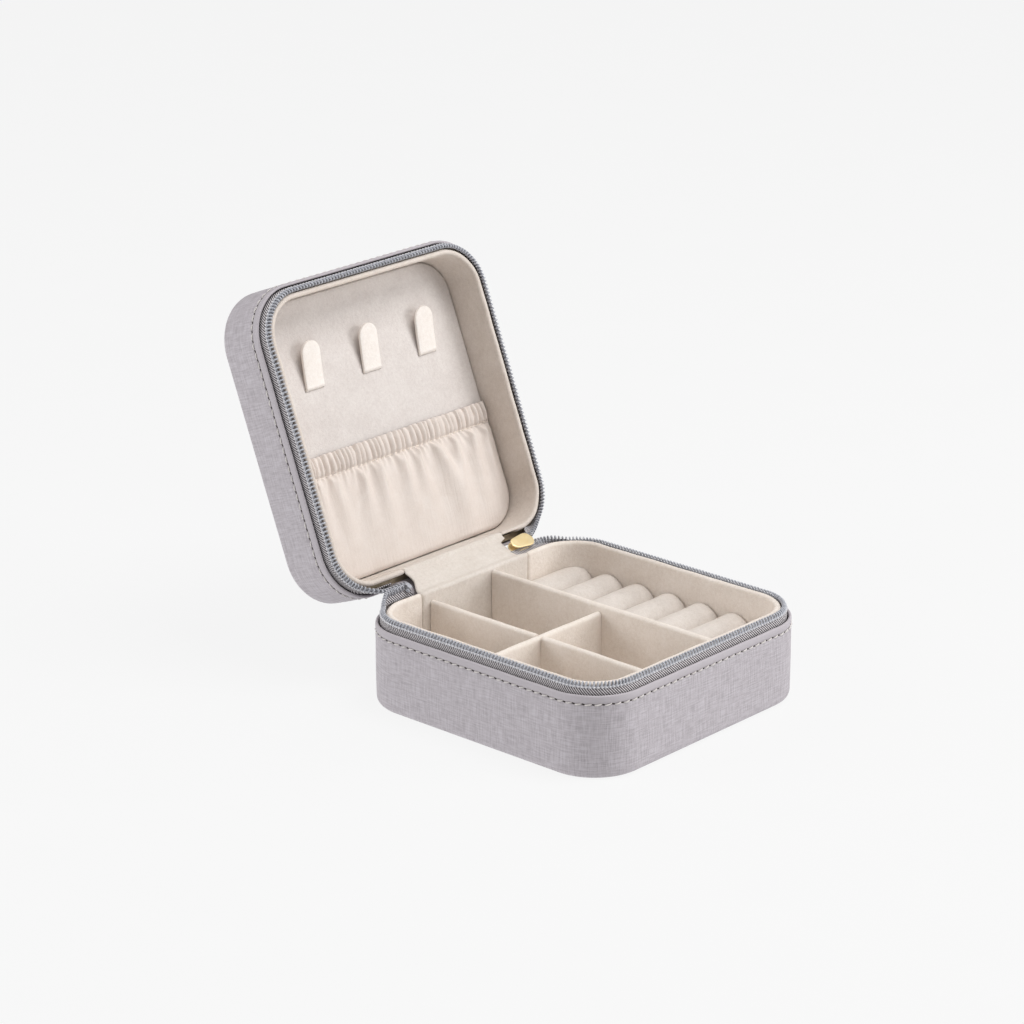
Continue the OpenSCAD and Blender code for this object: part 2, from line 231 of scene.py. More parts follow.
# ---------------------------------------------------------------- materials
class Nodes:
    def __init__(self, name):
        self.m = bpy.data.materials.new(name)
        self.m.use_nodes = True
        self.t = self.m.node_tree
        self.t.nodes.clear()
        self.out = self.t.nodes.new("ShaderNodeOutputMaterial")
        self.b = self.t.nodes.new("ShaderNodeBsdfPrincipled")
        self.t.links.new(self.b.outputs[0], self.out.inputs[0])

    def put(self, node, key, v):
        sock = node.inputs[key]
        if isinstance(v, bpy.types.NodeSocket):
            self.t.links.new(v, sock)
        else:
            sock.default_value = v

    def uv(self, name="UVMap"):
        n = self.t.nodes.new("ShaderNodeUVMap")
        n.uv_map = name
        return n.outputs[0]

    def obj(self):
        return self.t.nodes.new("ShaderNodeTexCoord").outputs["Object"]

    def scale(self, vec, x, y, z=1.0, rot=(0, 0, 0)):
        n = self.t.nodes.new("ShaderNodeMapping")
        self.put(n, "Vector", vec)
        n.inputs["Scale"].default_value = (x, y, z)
        n.inputs["Rotation"].default_value = rot
        return n.outputs[0]

    def noise(self, vec, scale=1.0, detail=2.0, rough=0.5, dist=0.0):
        n = self.t.nodes.new("ShaderNodeTexNoise")
        self.put(n, "Vector", vec)
        n.inputs["Scale"].default_value = scale
        n.inputs["Detail"].default_value = detail
        n.inputs["Roughness"].default_value = rough
        n.inputs["Distortion"].default_value = dist
        return n.outputs["Fac"]

    def math(self, op, a, b=0.0, c=0.0, clamp=False):
        n = self.t.nodes.new("ShaderNodeMath")
        n.operation = op
        n.use_clamp = clamp
        self.put(n, 0, a)
        self.put(n, 1, b)
        if op in ("MULTIPLY_ADD", "SMOOTH_MIN", "SMOOTH_MAX", "PINGPONG", "WRAP", "COMPARE"):
            self.put(n, 2, c)
        return n.outputs[0]

    def ramp(self, f, stops):
        n = self.t.nodes.new("ShaderNodeValToRGB")
        self.put(n, 0, f)
        e = n.color_ramp.elements
        e[0].position, e[0].color = stops[0][0], (*stops[0][1], 1)
        e[1].position, e[1].color = stops[-1][0], (*stops[-1][1], 1)
        for p, c in stops[1:-1]:
            x = e.new(p)
            x.color = (*c, 1)
        return n.outputs[0]

    def fade(self, v, a, b, lo=0.0, hi=1.0):
        n = self.t.nodes.new("ShaderNodeMapRange")
        n.interpolation_type = "SMOOTHSTEP"
        self.put(n, 0, v)
        for k, x in zip((1, 2, 3, 4), (a, b, lo, hi)):
            n.inputs[k].default_value = x
        return n.outputs[0]

    def mix(self, f, a, b, kind="MIX"):
        n = self.t.nodes.new("ShaderNodeMix")
        n.data_type = "RGBA"
        n.blend_type = kind
        self.put(n, 0, f)
        for k, v in ((6, a), (7, b)):
            self.put(n, k, (*v, 1) if isinstance(v, tuple) and len(v) == 3 else v)
        return n.outputs[2]

    def sep(self, vec):
        n = self.t.nodes.new("ShaderNodeSeparateXYZ")
        self.put(n, 0, vec)
        return n.outputs

    def bump(self, h, dist, strength=1.0, normal=None):
        n = self.t.nodes.new("ShaderNodeBump")
        n.inputs["Strength"].default_value = strength
        n.inputs["Distance"].default_value = dist
        self.put(n, "Height", h)
        if normal is not None:
            self.put(n, "Normal", normal)
        return n.outputs[0]

    def set(self, **kw):
        for k, v in kw.items():
            k = k.replace("_", " ")
            if isinstance(v, tuple) and len(v) == 3:
                v = (*v, 1)
            self.put(self.b, k, v)
        return self.m


def lin(r, g, b):
    return tuple(((x / 255) / 12.92) if x / 255 <= 0.04045 else ((x / 255 + 0.055) / 1.055) ** 2.4 for x in (r, g, b))


def leather(name):
    k = Nodes(name)
    uv, ed = k.uv(), k.uv("UVEdge")
    across = k.noise(k.scale(uv, 190, 2300), 1, 3.0, 0.6)
    up = k.noise(k.scale(uv, 2100, 170), 1, 3.0, 0.6)
    a = k.fade(across, 0.34, 0.66)
    u = k.fade(up, 0.34, 0.66)
    weave = k.math("MULTIPLY", k.math("ADD", a, u), 0.5)
    d = k.sep(ed)[1]
    body = k.fade(d, 0.0024, 0.0034, 0.16, 1.0)
    fine = k.noise(k.scale(uv, 5200, 5200), 1, 2.0, 0.6)
    blot = k.noise(k.scale(uv, 60, 60), 1, 3.0, 0.5)
    h = k.math("MULTIPLY", weave, body)
    shade = k.math("ADD", k.math("MULTIPLY", k.math("SUBTRACT", weave, 0.5), k.math("MULTIPLY", body, 0.75)), 0.5, clamp=True)
    col = k.ramp(shade, [(0.12, lin(163, 157, 162)), (0.5, lin(184, 178, 183)), (0.88, lin(199, 194, 200))])
    col = k.mix(k.math("MULTIPLY", blot, 0.22), col, lin(178, 173, 177))
    # needle holes of the seam, one between each pair of stitches
    su = k.sep(ed)[0]
    t = k.math("MULTIPLY", su, 1000.0 / PITCH)
    f = k.math("SUBTRACT", k.math("FRACT", k.math("ADD", t, 0.5)), 0.5)
    e1 = k.math("DIVIDE", k.math("MULTIPLY", f, PITCH), 0.62)
    e2 = k.math("DIVIDE", k.math("SUBTRACT", k.math("MULTIPLY", d, 1000.0), k.math("MULTIPLY_ADD", f, 0.5, 2.7)), 0.25)
    r2 = k.math("ADD", k.math("MULTIPLY", e1, e1), k.math("MULTIPLY", e2, e2))
    hole = k.fade(r2, 0.55, 1.25, 1.0, 0.0)
    # painted shade: a faint darker line along the sunk stitch groove
    seam = k.fade(k.math("ABSOLUTE", k.math("SUBTRACT", d, 0.0027)), 0.0001, 0.0006, 0.28, 0.0)
    col = k.mix(seam, col, lin(140, 132, 136))
    # painted shade: the needle holes are coloured near-black brown for the shade inside them
    col = k.mix(hole, col, lin(52, 44, 38))
    h2 = k.math("SUBTRACT", k.math("ADD", k.math("MULTIPLY", h, 0.85), k.math("MULTIPLY", fine, 0.12)), k.math("MULTIPLY", hole, 2.0))
    return k.set(Base_Color=col, Roughness=k.fade(weave, 0, 1, 0.62, 0.48), Specular_IOR_Level=0.32,
                 Normal=k.bump(h2, 0.00011, 0.75))


# painted shade: a darker grey meant for the covers' raw top edge, standing in for the shadow line where that edge meets
# the zip tape
def painted_edge_shade(name):
    k = Nodes(name)
    n = k.noise(k.obj(), 1400, 2)
    return k.set(Base_Color=k.ramp(n, [(0.3, lin(120, 114, 118)), (0.7, lin(150, 144, 149))]), Roughness=0.7,
                 Normal=k.bump(n, 0.00008, 0.4))


def velvet(name, dark, mid, light, sheen=0.35, big=0.5):
    k = Nodes(name)
    o = k.obj()
    pile = k.noise(o, 2600, 2.0, 0.7)
    grain = k.noise(o, 900, 3.0, 0.65)
    nap = k.noise(o, 110, 3.0, 0.55, 0.6)
    v = k.math("ADD", k.math("MULTIPLY", pile, 0.34), k.math("ADD", k.math("MULTIPLY", grain, 0.36), k.math("MULTIPLY", nap, 0.30)))
    col = k.ramp(v, [(0.36, dark), (0.5, mid), (0.64, light)])
    h = k.math("ADD", k.math("MULTIPLY", pile, 0.5), k.math("ADD", grain, k.math("MULTIPLY", nap, big)))
    return k.set(Base_Color=col, Roughness=0.93, Specular_IOR_Level=0.12, Sheen_Weight=sheen, Sheen_Roughness=0.42,
                 Sheen_Tint=lin(255, 246, 236), Normal=k.bump(h, 0.00022, 0.55))


def pocket_cloth(name):
    k = Nodes(name)
    o = k.obj()
    uv = k.uv()
    pile = k.noise(o, 2400, 2.0, 0.7)
    nap = k.noise(o, 150, 4.0, 0.6, 0.8)
    v = k.math("ADD", k.math("MULTIPLY", pile, 0.45), k.math("MULTIPLY", nap, 0.55))
    col = k.ramp(k.math("MULTIPLY_ADD", v, 0.8, 0.1), [(0.34, lin(215, 204, 196)), (0.5, lin(222, 212, 205)), (0.68, lin(228, 220, 214))])
    crush = k.noise(k.scale(uv, 900, 90), 1, 3, 0.5, 0.4)
    h = k.math("ADD", k.math("MULTIPLY", pile, 0.5), k.math("MULTIPLY", crush, 1.4))
    return k.set(Base_Color=col, Roughness=0.9, Specular_IOR_Level=0.14, Sheen_Weight=0.4, Sheen_Roughness=0.4,
                 Sheen_Tint=lin(255, 244, 234), Normal=k.bump(h, 0.0002, 0.5))


def board_mat(name):
    k = Nodes(name)
    o = k.obj()
    n = k.noise(o, 500, 4, 0.6)
    return k.set(Base_Color=k.ramp(n, [(0.3, lin(140, 126, 106)), (0.7, lin(166, 152, 130))]), Roughness=0.9,
                 Normal=k.bump(n, 0.0001, 0.4))


def elastic_mat(name):
    k = Nodes(name)
    x, y, z = k.sep(k.obj())
    w = k.math("SINE", k.math("MULTIPLY", x, 9000))
    return k.set(Base_Color=k.ramp(k.math("MULTIPLY_ADD", w, 0.5, 0.5), [(0.1, lin(214, 210, 204)), (0.9, lin(238, 236, 231))]),
                 Roughness=0.85, Normal=k.bump(w, 0.00006, 0.6))


def tape_mat(name):
    """Woven zip tape with fine slanted ribs and a painted shadow along its lower part."""
    k = Nodes(name)
    u, v, _ = k.sep(k.uv("UVEdge"))
    t = k.math("MULTIPLY", k.math("SUBTRACT", u, k.math("MULTIPLY", v, 0.95)), 1000 / 0.9)
    f = k.math("FRACT", t)
    rib = k.fade(k.math("ABSOLUTE", k.math("SUBTRACT", f, 0.5)), 0.12, 0.36, 1.0, 0.0)
    yarn = k.noise(k.scale(k.uv(), 2600, 2600), 1, 2, 0.6)
    f2 = k.math("MULTIPLY_ADD", yarn, 0.3, k.math("MULTIPLY", rib, 0.78))
    col = k.ramp(f2, [(0.12, lin(70, 64, 66)), (0.5, lin(150, 145, 148)), (0.95, lin(222, 218, 220))])
    # painted shadow: the tape darkens from about the leather's edge downwards, standing in for the shade in the gap
    # behind the leather's top edge
    low = k.fade(v, 0.00245, 0.0031, 0.0, 0.75)
    col = k.mix(low, col, lin(70, 66, 70))
    return k.set(Base_Color=col, Roughness=0.8, Specular_IOR_Level=0.2, Sheen_Weight=0.15, Sheen_Roughness=0.5,
                 Normal=k.bump(k.math("ADD", rib, k.math("MULTIPLY", yarn, 0.4)), 0.00018, 0.8))


def coil_mat(name):
    k = Nodes(name)
    n = k.noise(k.obj(), 1300, 2, 0.5)
    return k.set(Base_Color=k.ramp(n, [(0.3, lin(158, 160, 168)), (0.7, lin(196, 198, 205))]), Roughness=0.38,
                 Specular_IOR_Level=0.5, Normal=k.bump(n, 0.00005, 0.3))


def thread_mat(name, a, b):
    k = Nodes(name)
    u, v, _ = k.sep(k.uv())
    w = k.math("SINE", k.math("MULTIPLY", k.math("ADD", k.math("MULTIPLY", u, 1.0), k.math("MULTIPLY", v, 0.7)), 16000))
    n = k.noise(k.obj(), 3000, 2)
    f = k.math("MULTIPLY_ADD", w, 0.3, k.math("MULTIPLY_ADD", n, 0.5, 0.25))
    return k.set(Base_Color=k.ramp(f, [(0.15, a), (0.75, b)]), Roughness=0.6, Sheen_Weight=0.2, Normal=k.bump(w, 0.00005, 0.7))


def gold_mat(name):
    k = Nodes(name)
    o = k.obj()
    n = k.noise(k.scale(o, 260, 2400, 2400), 1, 3, 0.5)
    m = k.noise(o, 900, 2, 0.5)
    col = k.ramp(m, [(0.3, lin(252, 226, 168)), (0.7, lin(255, 236, 190))])
    return k.set(Base_Color=col, Metallic=0.62, Roughness=k.fade(n, 0.3, 0.7, 0.36, 0.48), Normal=k.bump(n, 0.00002, 0.25))


def floor_mat(name):
    k = Nodes(name)
    n = k.noise(k.obj(), 30, 2)
    col = k.ramp(n, [(0.2, (0.058, 0.058, 0.058)), (0.8, (0.062, 0.062, 0.062))])
    return k.set(Base_Color=col, Roughness=0.9, Specular_IOR_Level=0.0, Emission_Color=(1, 1, 1), Emission_Strength=0.875)


NST = 124
PITCH = RING / NST
M_LEATHER = leather("leather_linen")
M_EDGE_SHADE = painted_edge_shade("leather_edge_painted_shade")
M_VELVET = velvet("velvet_lining", lin(225, 214, 204), lin(234, 225, 216), lin(241, 233, 226))
# painted shade: a darker copy of the lining velvet for the lid's walls, standing in for the shade inside the open lid
M_LIDWALL_SHADED = velvet("velvet_lid_wall_painted_shade", lin(204, 193, 183), lin(214, 204, 195), lin(223, 214, 206))
M_ROLL = velvet("velvet_rolls", lin(210, 201, 193), lin(220, 212, 205), lin(228, 221, 215))
M_PANEL = velvet("velvet_panel", lin(205, 197, 193), lin(214, 207, 203), lin(222, 216, 212), 0.28)
M_HINGE = velvet("velvet_hinge", lin(210, 201, 192), lin(219, 211, 203), lin(227, 220, 213), 0.28)
M_HOOK = velvet("velvet_hook", lin(231, 223, 216), lin(238, 231, 225), lin(244, 239, 234), 0.35)
M_POCKET = pocket_cloth("velvet_pocket")
M_BOARD = board_mat("greyboard")
M_ELASTIC = elastic_mat("elastic")
M_TAPE = tape_mat("zip_tape_herringbone")
M_COIL = coil_mat("zip_coil_nylon")
M_THREAD = thread_mat("seam_thread", lin(196, 190, 188), lin(238, 234, 230))
M_GREYTHREAD = thread_mat("coil_thread", lin(184, 183, 188), lin(232, 231, 234))
M_CREAM = thread_mat("pocket_thread", lin(224, 210, 196), lin(252, 244, 235))
M_GOLD = gold_mat("pale_gold")
M_CORE = thread_mat("coil_core_cord", lin(120, 120, 126), lin(160, 160, 165))


def mirror_top(P):
    P = np.array(P, float)
    P[..., 2] = TOP - P[..., 2]
    return P


def lid_place(P):
    """A point drawn with the lid's top down on the table, taken to the open lid."""
    return lid_open(mirror_top(P))


# ---------------------------------------------------------------- covers
def cover(name, h, place, body, node, seed):
    wob = noise1(seed, RING, 7, 2)
    wob2 = noise1(seed + 1, RING, 6, 5)
    er, t = 2.2, 0.9
    prof = [(er, 0.0)] + arc_pts(er, er, er, 268, 180, 9)
    zs = list(np.linspace(er + 0.8, h - 3.9, 9)) + list(np.linspace(h - 3.5, h - 1.6, 14)) + [h - 1.2, h - 0.8]
    prof += [(0, z) for z in zs]
    prof += arc_pts(0.45, h - 0.45, 0.45, 180, 0, 9)
    outer_n = len(prof)
    prof += [(t, h - 1.2), (t, h - 3.5), (t, er + 0.5)] + arc_pts(er, er, er - t, 180, 270, 5)
    prof = np.array(prof)
    n = 494
    S = np.linspace(0, RING, n + 1)[:-1]
    J = len(prof)
    P = np.zeros((n, J, 3))
    v = np.zeros(J)
    run = lengths(prof)
    for j in range(J):
        ins, z = prof[j]
        d = h - z
        add = 0 * S
        if j < outer_n and z > er:
            hole = 0.5 + 0.5 * np.cos(2 * PI * S / PITCH)
            add = add + math.exp(-((d - 2.7) / 0.42) ** 2) * (0.14 + 0.12 * hole)
            add = add - 0.10 * math.exp(-((d - 1.35) / 0.75) ** 2) - 0.05 * math.exp(-((d - 4.0) / 0.8) ** 2)
            side = math.sin(PI * min(1, max(0, (z - er) / (h - 3.5 - er)))) if z < h - 3.5 else 0
            add = add - 0.09 * side + 0.035 * wob(S) * side
        zz = z + (0.05 * wob2(S) if z > h - 3 else 0)
        P[:, j] = around(S, ins + add, zz)
        v[j] = h - z if (z > er and j < outer_n) else (h - er + (run[9] - run[j]) if j < 10 else h - z)
    # the round bottom edge keeps counting along the surface
    SS = np.linspace(0, RING, n + 1)
    U = np.zeros((n + 1, J + 1, 2))
    U[..., 0] = SS[:, None] * MM
    U[:, :J, 1] = v[None, :] * MM
    U[:, J, 1] = v[0] * MM
    b = Builder()
    base = b.grid(place(P), U, U.copy(), wrap_i=True, wrap_j=False)
    J0, J1 = 0, J - 1
    # bottom, outer and inner skin, in rings to the middle
    for jj, z, sgn in ((J0, 0.0, 1), (J1, t, -1)):
        rings = [base_idx for base_idx in ()]
        ins_list = [er, 6.0, 11.0, 16.6]
        Q = np.stack([around(S, i, z + 0 * S) for i in ins_list], 1)
        if jj == J0:
            # the bottom is left flat, though glued covering sinks a little
            pass
        UU = np.zeros((n + 1, len(ins_list), 2))
        QQ = np.concatenate([Q, Q[:1]], 0)
        UU[..., 0] = QQ[..., 0] * MM
        UU[..., 1] = QQ[..., 1] * MM
        WW = UU.copy()
        WW[..., 1] = 0.02
        k = b.grid(place(Q), UU, WW, wrap_i=True)
        L = len(ins_list)
        idx = [k + i * L + L - 1 for i in range(n)]
        b.face(idx, [tuple(Q[i, -1, :2] * MM) for i in range(n)], [(Q[i, -1, 0] * MM, 0.02) for i in range(n)])
    o = b.make(name, M_LEATHER, mats=[M_EDGE_SHADE], smooth=50)
    # weld the rings; the edge's painted-shade material is appended but no face is given it
    bm = bmesh.new()
    bm.from_mesh(o.data)
    bmesh.ops.remove_doubles(bm, verts=bm.verts, dist=1e-6)
    bmesh.ops.recalc_face_normals(bm, faces=bm.faces)
    bm.to_mesh(o.data)
    bm.free()
    o.data.update()
    return put(o, body, "cover", node)


cover("base_cover_leather", BASE_H, same, "base", "base_cover", 11)
cover("lid_cover_leather", TOP - LID_E, lid_place, "lid", "lid_cover", 23)


def stitches(name, h, place, body, node, seed):
    g = np.random.default_rng(seed)
    b = Builder()
    R = 0.235
    for i in range(NST):
        s0 = i * PITCH + 0.42 + g.uniform(-0.05, 0.05)
        s1 = (i + 1) * PITCH - 0.42 + g.uniform(-0.05, 0.05)
        m, q = 7, 7
        t = np.linspace(0, 1, m)
        s = s0 + (s1 - s0) * t
        z = h - 2.7 + (t - 0.5) * 0.46 + g.uniform(-0.03, 0.03)
        ins = 0.24 - 0.36 * np.sin(PI * t) ** 0.6
        rad = R * (0.62 + 0.38 * np.sin(PI * t) ** 0.5)
        a = np.linspace(0, 2 * PI, q + 1)[:-1]
        P = np.zeros((m, q, 3))
        for j in range(q):
            P[:, j] = around(s, ins + rad * math.cos(a[j]), z + rad * math.sin(a[j]))
        U = np.zeros((m, q + 1, 2))
        U[..., 0] = (t[:, None]) * 0.0022
        U[..., 1] = np.linspace(0, 0.0015, q + 1)[None, :]
        k = b.grid(place(P), U, wrap_j=True)
        for e in (0, m - 1):
            b.face([k + e * q + j for j in range(q)], [(0, 0)] * q)
    o = b.make(name, M_THREAD, smooth=60)
    return put(o, body, "thread", node)


stitches("base_seam_stitches", BASE_H, same, "base", "base_stitching", 3)
stitches("lid_seam_stitches", TOP - LID_E, lid_place, "lid", "lid_stitching", 4)

# ---------------------------------------------------------------- zip tape and coil
S_LEFT = 27.0                 # where the tapes end beside the hinge, left
S_RIGHT = RING - 32.4         # and at the slider


def tape_profile(h, lean=1.0):
    th = 0.32
    out = [(1.28, h - 7.4), (1.28, h - 1.2), (1.30, h - 0.2), (1.30, h + 0.45), (1.36, h + 1.0), (1.50, h + 1.45),
           (1.68, h + 1.85), (1.86, h + 2.25)]
    inn = [(i + th, z + 0.05) for i, z in reversed(out)]
    return out + inn


def tape(name, h, place, body, node):
    prof = tape_profile(h)
    wob = noise1(31 + int(h), RING, 6, 6)

    def vary(S, j, p):
        up = max(0.0, p[1] - h)
        return 0.05 * up * wob(S), 0.0

    o = band(name, prof, S_LEFT, S_RIGHT, 1.1, M_TAPE, place, vary=vary, edge=None)
    # UVEdge counts down from the coil, so the ribs turn halfway up the visible strip
    me = o.data
    uv, ue = me.uv_layers["UVMap"], me.uv_layers["UVEdge"]
    n = len(me.loops)
    a = np.zeros(n * 2, np.float32)
    uv.data.foreach_get("uv", a)
    a = a.reshape(-1, 2)
    total = lengths(np.array(prof))[7] * MM
    e = a.copy()
    e[:, 1] = np.abs(total - a[:, 1])
    ue.data.foreach_set("uv", e.ravel())
    return put(o, body, "zip_tape", node)


tape("base_tape_cloth", BASE_H, same, "base", "base_zip_tape")
tape("lid_tape_cloth", TOP - LID_E, lid_place, "lid", "lid_zip_tape")

COIL_P = 1.3


def coil_mesh(b, s0, s1, phase, h_c, ins_c, place, dev=None, mirror=False):
    """Zip coil: narrow U-shaped loops whose heads point to the parting plane."""
    wire = 0.27
    k0, k1 = math.ceil((s0 - phase) / COIL_P), math.floor((s1 - phase) / COIL_P)
    per = 14
    ts = np.arange(k0 * per, k1 * per + 1) / per
    frac = ts - np.floor(ts)
    # the step to the next loop is made at the root only
    st = np.clip((frac - 0.62) / 0.36, 0, 1)
    st = st * st * (3 - 2 * st)
    s = phase + COIL_P * (np.floor(ts) + st)
    ang = 2 * PI * (frac + 0.05)
    tilt = math.radians(20)
    a1, a2 = 0.86, 0.5
    la, lb = a1 * np.sin(ang), a2 * np.cos(ang)     # along the loop (to the head), across it
    z = h_c + la * math.cos(tilt) + lb * math.sin(tilt)
    ins = ins_c + la * math.sin(tilt) - lb * math.cos(tilt)
    # sweep a round wire along this path
    C = around(s, ins, z)
    if dev is not None:
        C = dev(C, s)
    D = np.gradient(C, axis=0)
    D /= np.linalg.norm(D, axis=1)[:, None] + 1e-9
    x, y, nx, ny = ring(s)
    ref = np.stack([-ny, nx, 0 * nx], -1)            # along the ring
    e1 = ref - (ref * D).sum(1)[:, None] * D
    e1 /= np.linalg.norm(e1, axis=1)[:, None] + 1e-9
    e2 = np.cross(D, e1)
    q = 6
    a = np.linspace(0, 2 * PI, q + 1)[:-1]
    P = C[:, None, :] + wire * (np.cos(a)[None, :, None] * e1[:, None, :] + np.sin(a)[None, :, None] * e2[:, None, :])
    U = np.zeros((len(s), q + 1, 2))
    U[..., 0] = (ts * 5 * MM)[:, None]
    U[..., 1] = (np.linspace(0, 1.6, q + 1) * MM)[None, :]
    k = b.grid(place(P), U, wrap_j=True)
    for e in (0, len(s) - 1):
        b.face([k + e * q + j for j in range(q)], [(0, 0)] * q)


def core_line(b, s0, s1, ins, h, place, dev=None):
    """Filler cord inside the loops."""
    n = int((s1 - s0) / 0.5)
    s = np.linspace(s0, s1, n)
    C = around(s, ins - 0.1, h - 0.52 + 0 * s)
    if dev is not None:
        C = dev(C, s)
    q = 8
    a = np.linspace(0, 2 * PI, q + 1)[:-1]
    x, y, nx, ny = ring(s)
    N = np.stack([nx, ny, 0 * nx], -1)
    tl = math.radians(20)
    up = np.array([0, 0, 1.0]) * math.cos(tl) - N * math.sin(tl)
    ac = np.array([0, 0, 1.0]) * math.sin(tl) + N * math.cos(tl)
    P = C[:, None, :] + 0.30 * np.sin(a)[None, :, None] * up[:, None, :] + 0.26 * np.cos(a)[None, :, None] * ac[:, None, :]
    U = np.zeros((n, q + 1, 2))
    U[..., 0] = (s * MM)[:, None]
    k = b.grid(place(P), U, wrap_j=True, mat=1)
    for e in (0, n - 1):
        b.face([k + e * q + j for j in range(q)], [(0, 0)] * q, mat=1)


def sew_line(b, s0, s1, ins, h, r, place, dev=None, beads=COIL_P, phase=0.0):
    """Sewing thread that runs along the coil, dipping between the loops."""
    n = int((s1 - s0) / 0.22)
    s = np.linspace(s0, s1, n)
    w = np.cos(2 * PI * (s - phase) / beads)
    C = around(s, ins - 0.07 * w, h + 0 * s)
    if dev is not None:
        C = dev(C, s)
    q = 6
    a = np.linspace(0, 2 * PI, q + 1)[:-1]
    x, y, nx, ny = ring(s)
    rr = r * (0.74 + 0.56 * w)
    N = np.stack([nx, ny, 0 * nx], -1)
    P = C[:, None, :] + rr[:, None, None] * (np.cos(a)[None, :, None] * N[:, None, :] + np.sin(a)[None, :, None] * np.array([0, 0, 1.0]))
    U = np.zeros((n, q + 1, 2))
    U[..., 0] = (s * MM)[:, None]
    U[..., 1] = (np.linspace(0, 1.0, q + 1) * MM)[None, :]
    k = b.grid(place(P), U, wrap_j=True, mat=2)
    for e in (0, n - 1):
        b.face([k + e * q + j for j in range(q)], [(0, 0)] * q, mat=2)


COIL_Z, COIL_IN = 29.0, 2.25   # in the base; the lid's mirrors it at the parting plane
LID_COIL_Z = TOP - (2 * PART - COIL_Z)
END_L, END_R = 42.0, 43.0      # x beyond which the coils leave the covers' line
S_EL = 33 + 17 * math.asin((END_L - 33) / 17)
S_ER = RING - (33 + 17 * math.asin((END_R - 33) / 17))

b = Builder()
coil_mesh(b, S_EL, S_ER, 0.0, COIL_Z, COIL_IN, same)
sew_line(b, S_EL, S_ER, COIL_IN - 0.66, COIL_Z - 0.5, 0.3, same)
core_line(b, S_EL, S_ER, COIL_IN, COIL_Z, same)
o = b.make("base_coil_loops", M_COIL, mats=[M_CORE, M_GREYTHREAD], smooth=180)
put(o, "base", "zip_coil", "base_zip_coil")
b = Builder()
coil_mesh(b, S_EL, S_ER, COIL_P / 2, LID_COIL_Z, COIL_IN, lid_place)
sew_line(b, S_EL, S_ER, COIL_IN - 0.66, LID_COIL_Z - 0.5, 0.3, lid_place, phase=COIL_P / 2)
core_line(b, S_EL, S_ER, COIL_IN, LID_COIL_Z, lid_place)
o = b.make("lid_coil_loops", M_COIL, mats=[M_CORE, M_GREYTHREAD], smooth=180)
put(o, "lid", "zip_coil", "lid_zip_coil")


def smooth01(t):
    t = np.clip(t, 0, 1)
    return t * t * (3 - 2 * t)


def inv_smooth(w):
    lo, hi = 0.0, 1.0
    for _ in range(40):
        m = (lo + hi) / 2
        lo, hi = (m, hi) if m * m * (3 - 2 * m) < w else (lo, m)
    return lo


L0, L1 = np.array([48.4, 28.0]), np.array([55.1, 29.6])
LD = L1 - L0


def line_weight(Y, Z):
    t = np.clip(((Y - L0[0]) * LD[0] + (Z - L0[1]) * LD[1]) / (LD @ LD), 0, 1)
    return t * t * (3 - 2 * t)


def end_line(half, u):
    """Open-case (y, z) of the coil beside the hinge's left end; u: 1 where the two coils meet, 0 on the ring."""
    a = np.array([HALF - COIL_IN, COIL_Z]) if half == "base" else opened2(HALF - COIL_IN, 2 * PART - COIL_Z)
    c = np.array([50.6, 30.6]) if half == "base" else np.array([51.3, 31.2])
    m = np.array([48.6, 29.7]) if half == "base" else np.array([53.6, 31.9])
    u = np.asarray(u)[..., None]
    return a * (1 - u) ** 2 + m * 2 * u * (1 - u) + c * u * u


def opened2(y, z):
    return lid_open(np.array([0.0, y, z]))[1:]


def end_tape(b, xs, C, root, place=None, n=9):
    """Tape between the cover's rim line (root) and the coil line C, both (len(xs), 2)."""
    t = np.linspace(0, 1, n)
    P = np.zeros((len(xs), n, 3))
    Q = np.zeros((len(xs), n, 3))
    for j, k in enumerate(t):
        yz = root * (1 - k) + C * k
        P[:, j, 0] = Q[:, j, 0] = xs
        P[:, j, 1:] = yz
        Q[:, j, 1:] = yz
    d = C - root
    N = np.stack([-d[:, 1], d[:, 0]], -1)
    N /= np.linalg.norm(N, axis=1)[:, None]
    Q[:, :, 1:] += 0.3 * N[:, None, :]
    P[:, :, 1:] += 0.02 * N[:, None, :]
    U = np.zeros((len(xs), n, 2))
    U[..., 0] = xs[:, None] * MM
    L = np.hypot(d[:, 0], d[:, 1])
    U[..., 1] = (L[:, None] * (1 - t[None, :])) * MM * 0.75
    if place is not None:
        P, Q = place(P), place(Q)
    f = b.grid(P, U)
    g = b.grid(Q, U)
    m = len(xs)
    for i in range(m - 1):
        for j in (0, n - 1):
            b.face([f + i * n + j, f + (i + 1) * n + j, g + (i + 1) * n + j, g + i * n + j], [tuple(U[i, j])] * 4)
    for j in range(n - 1):
        for i in (0, m - 1):
            b.face([f + i * n + j, f + i * n + j + 1, g + i * n + j + 1, g + i * n + j], [tuple(U[i, j])] * 4)
    return float(np.mean(L))


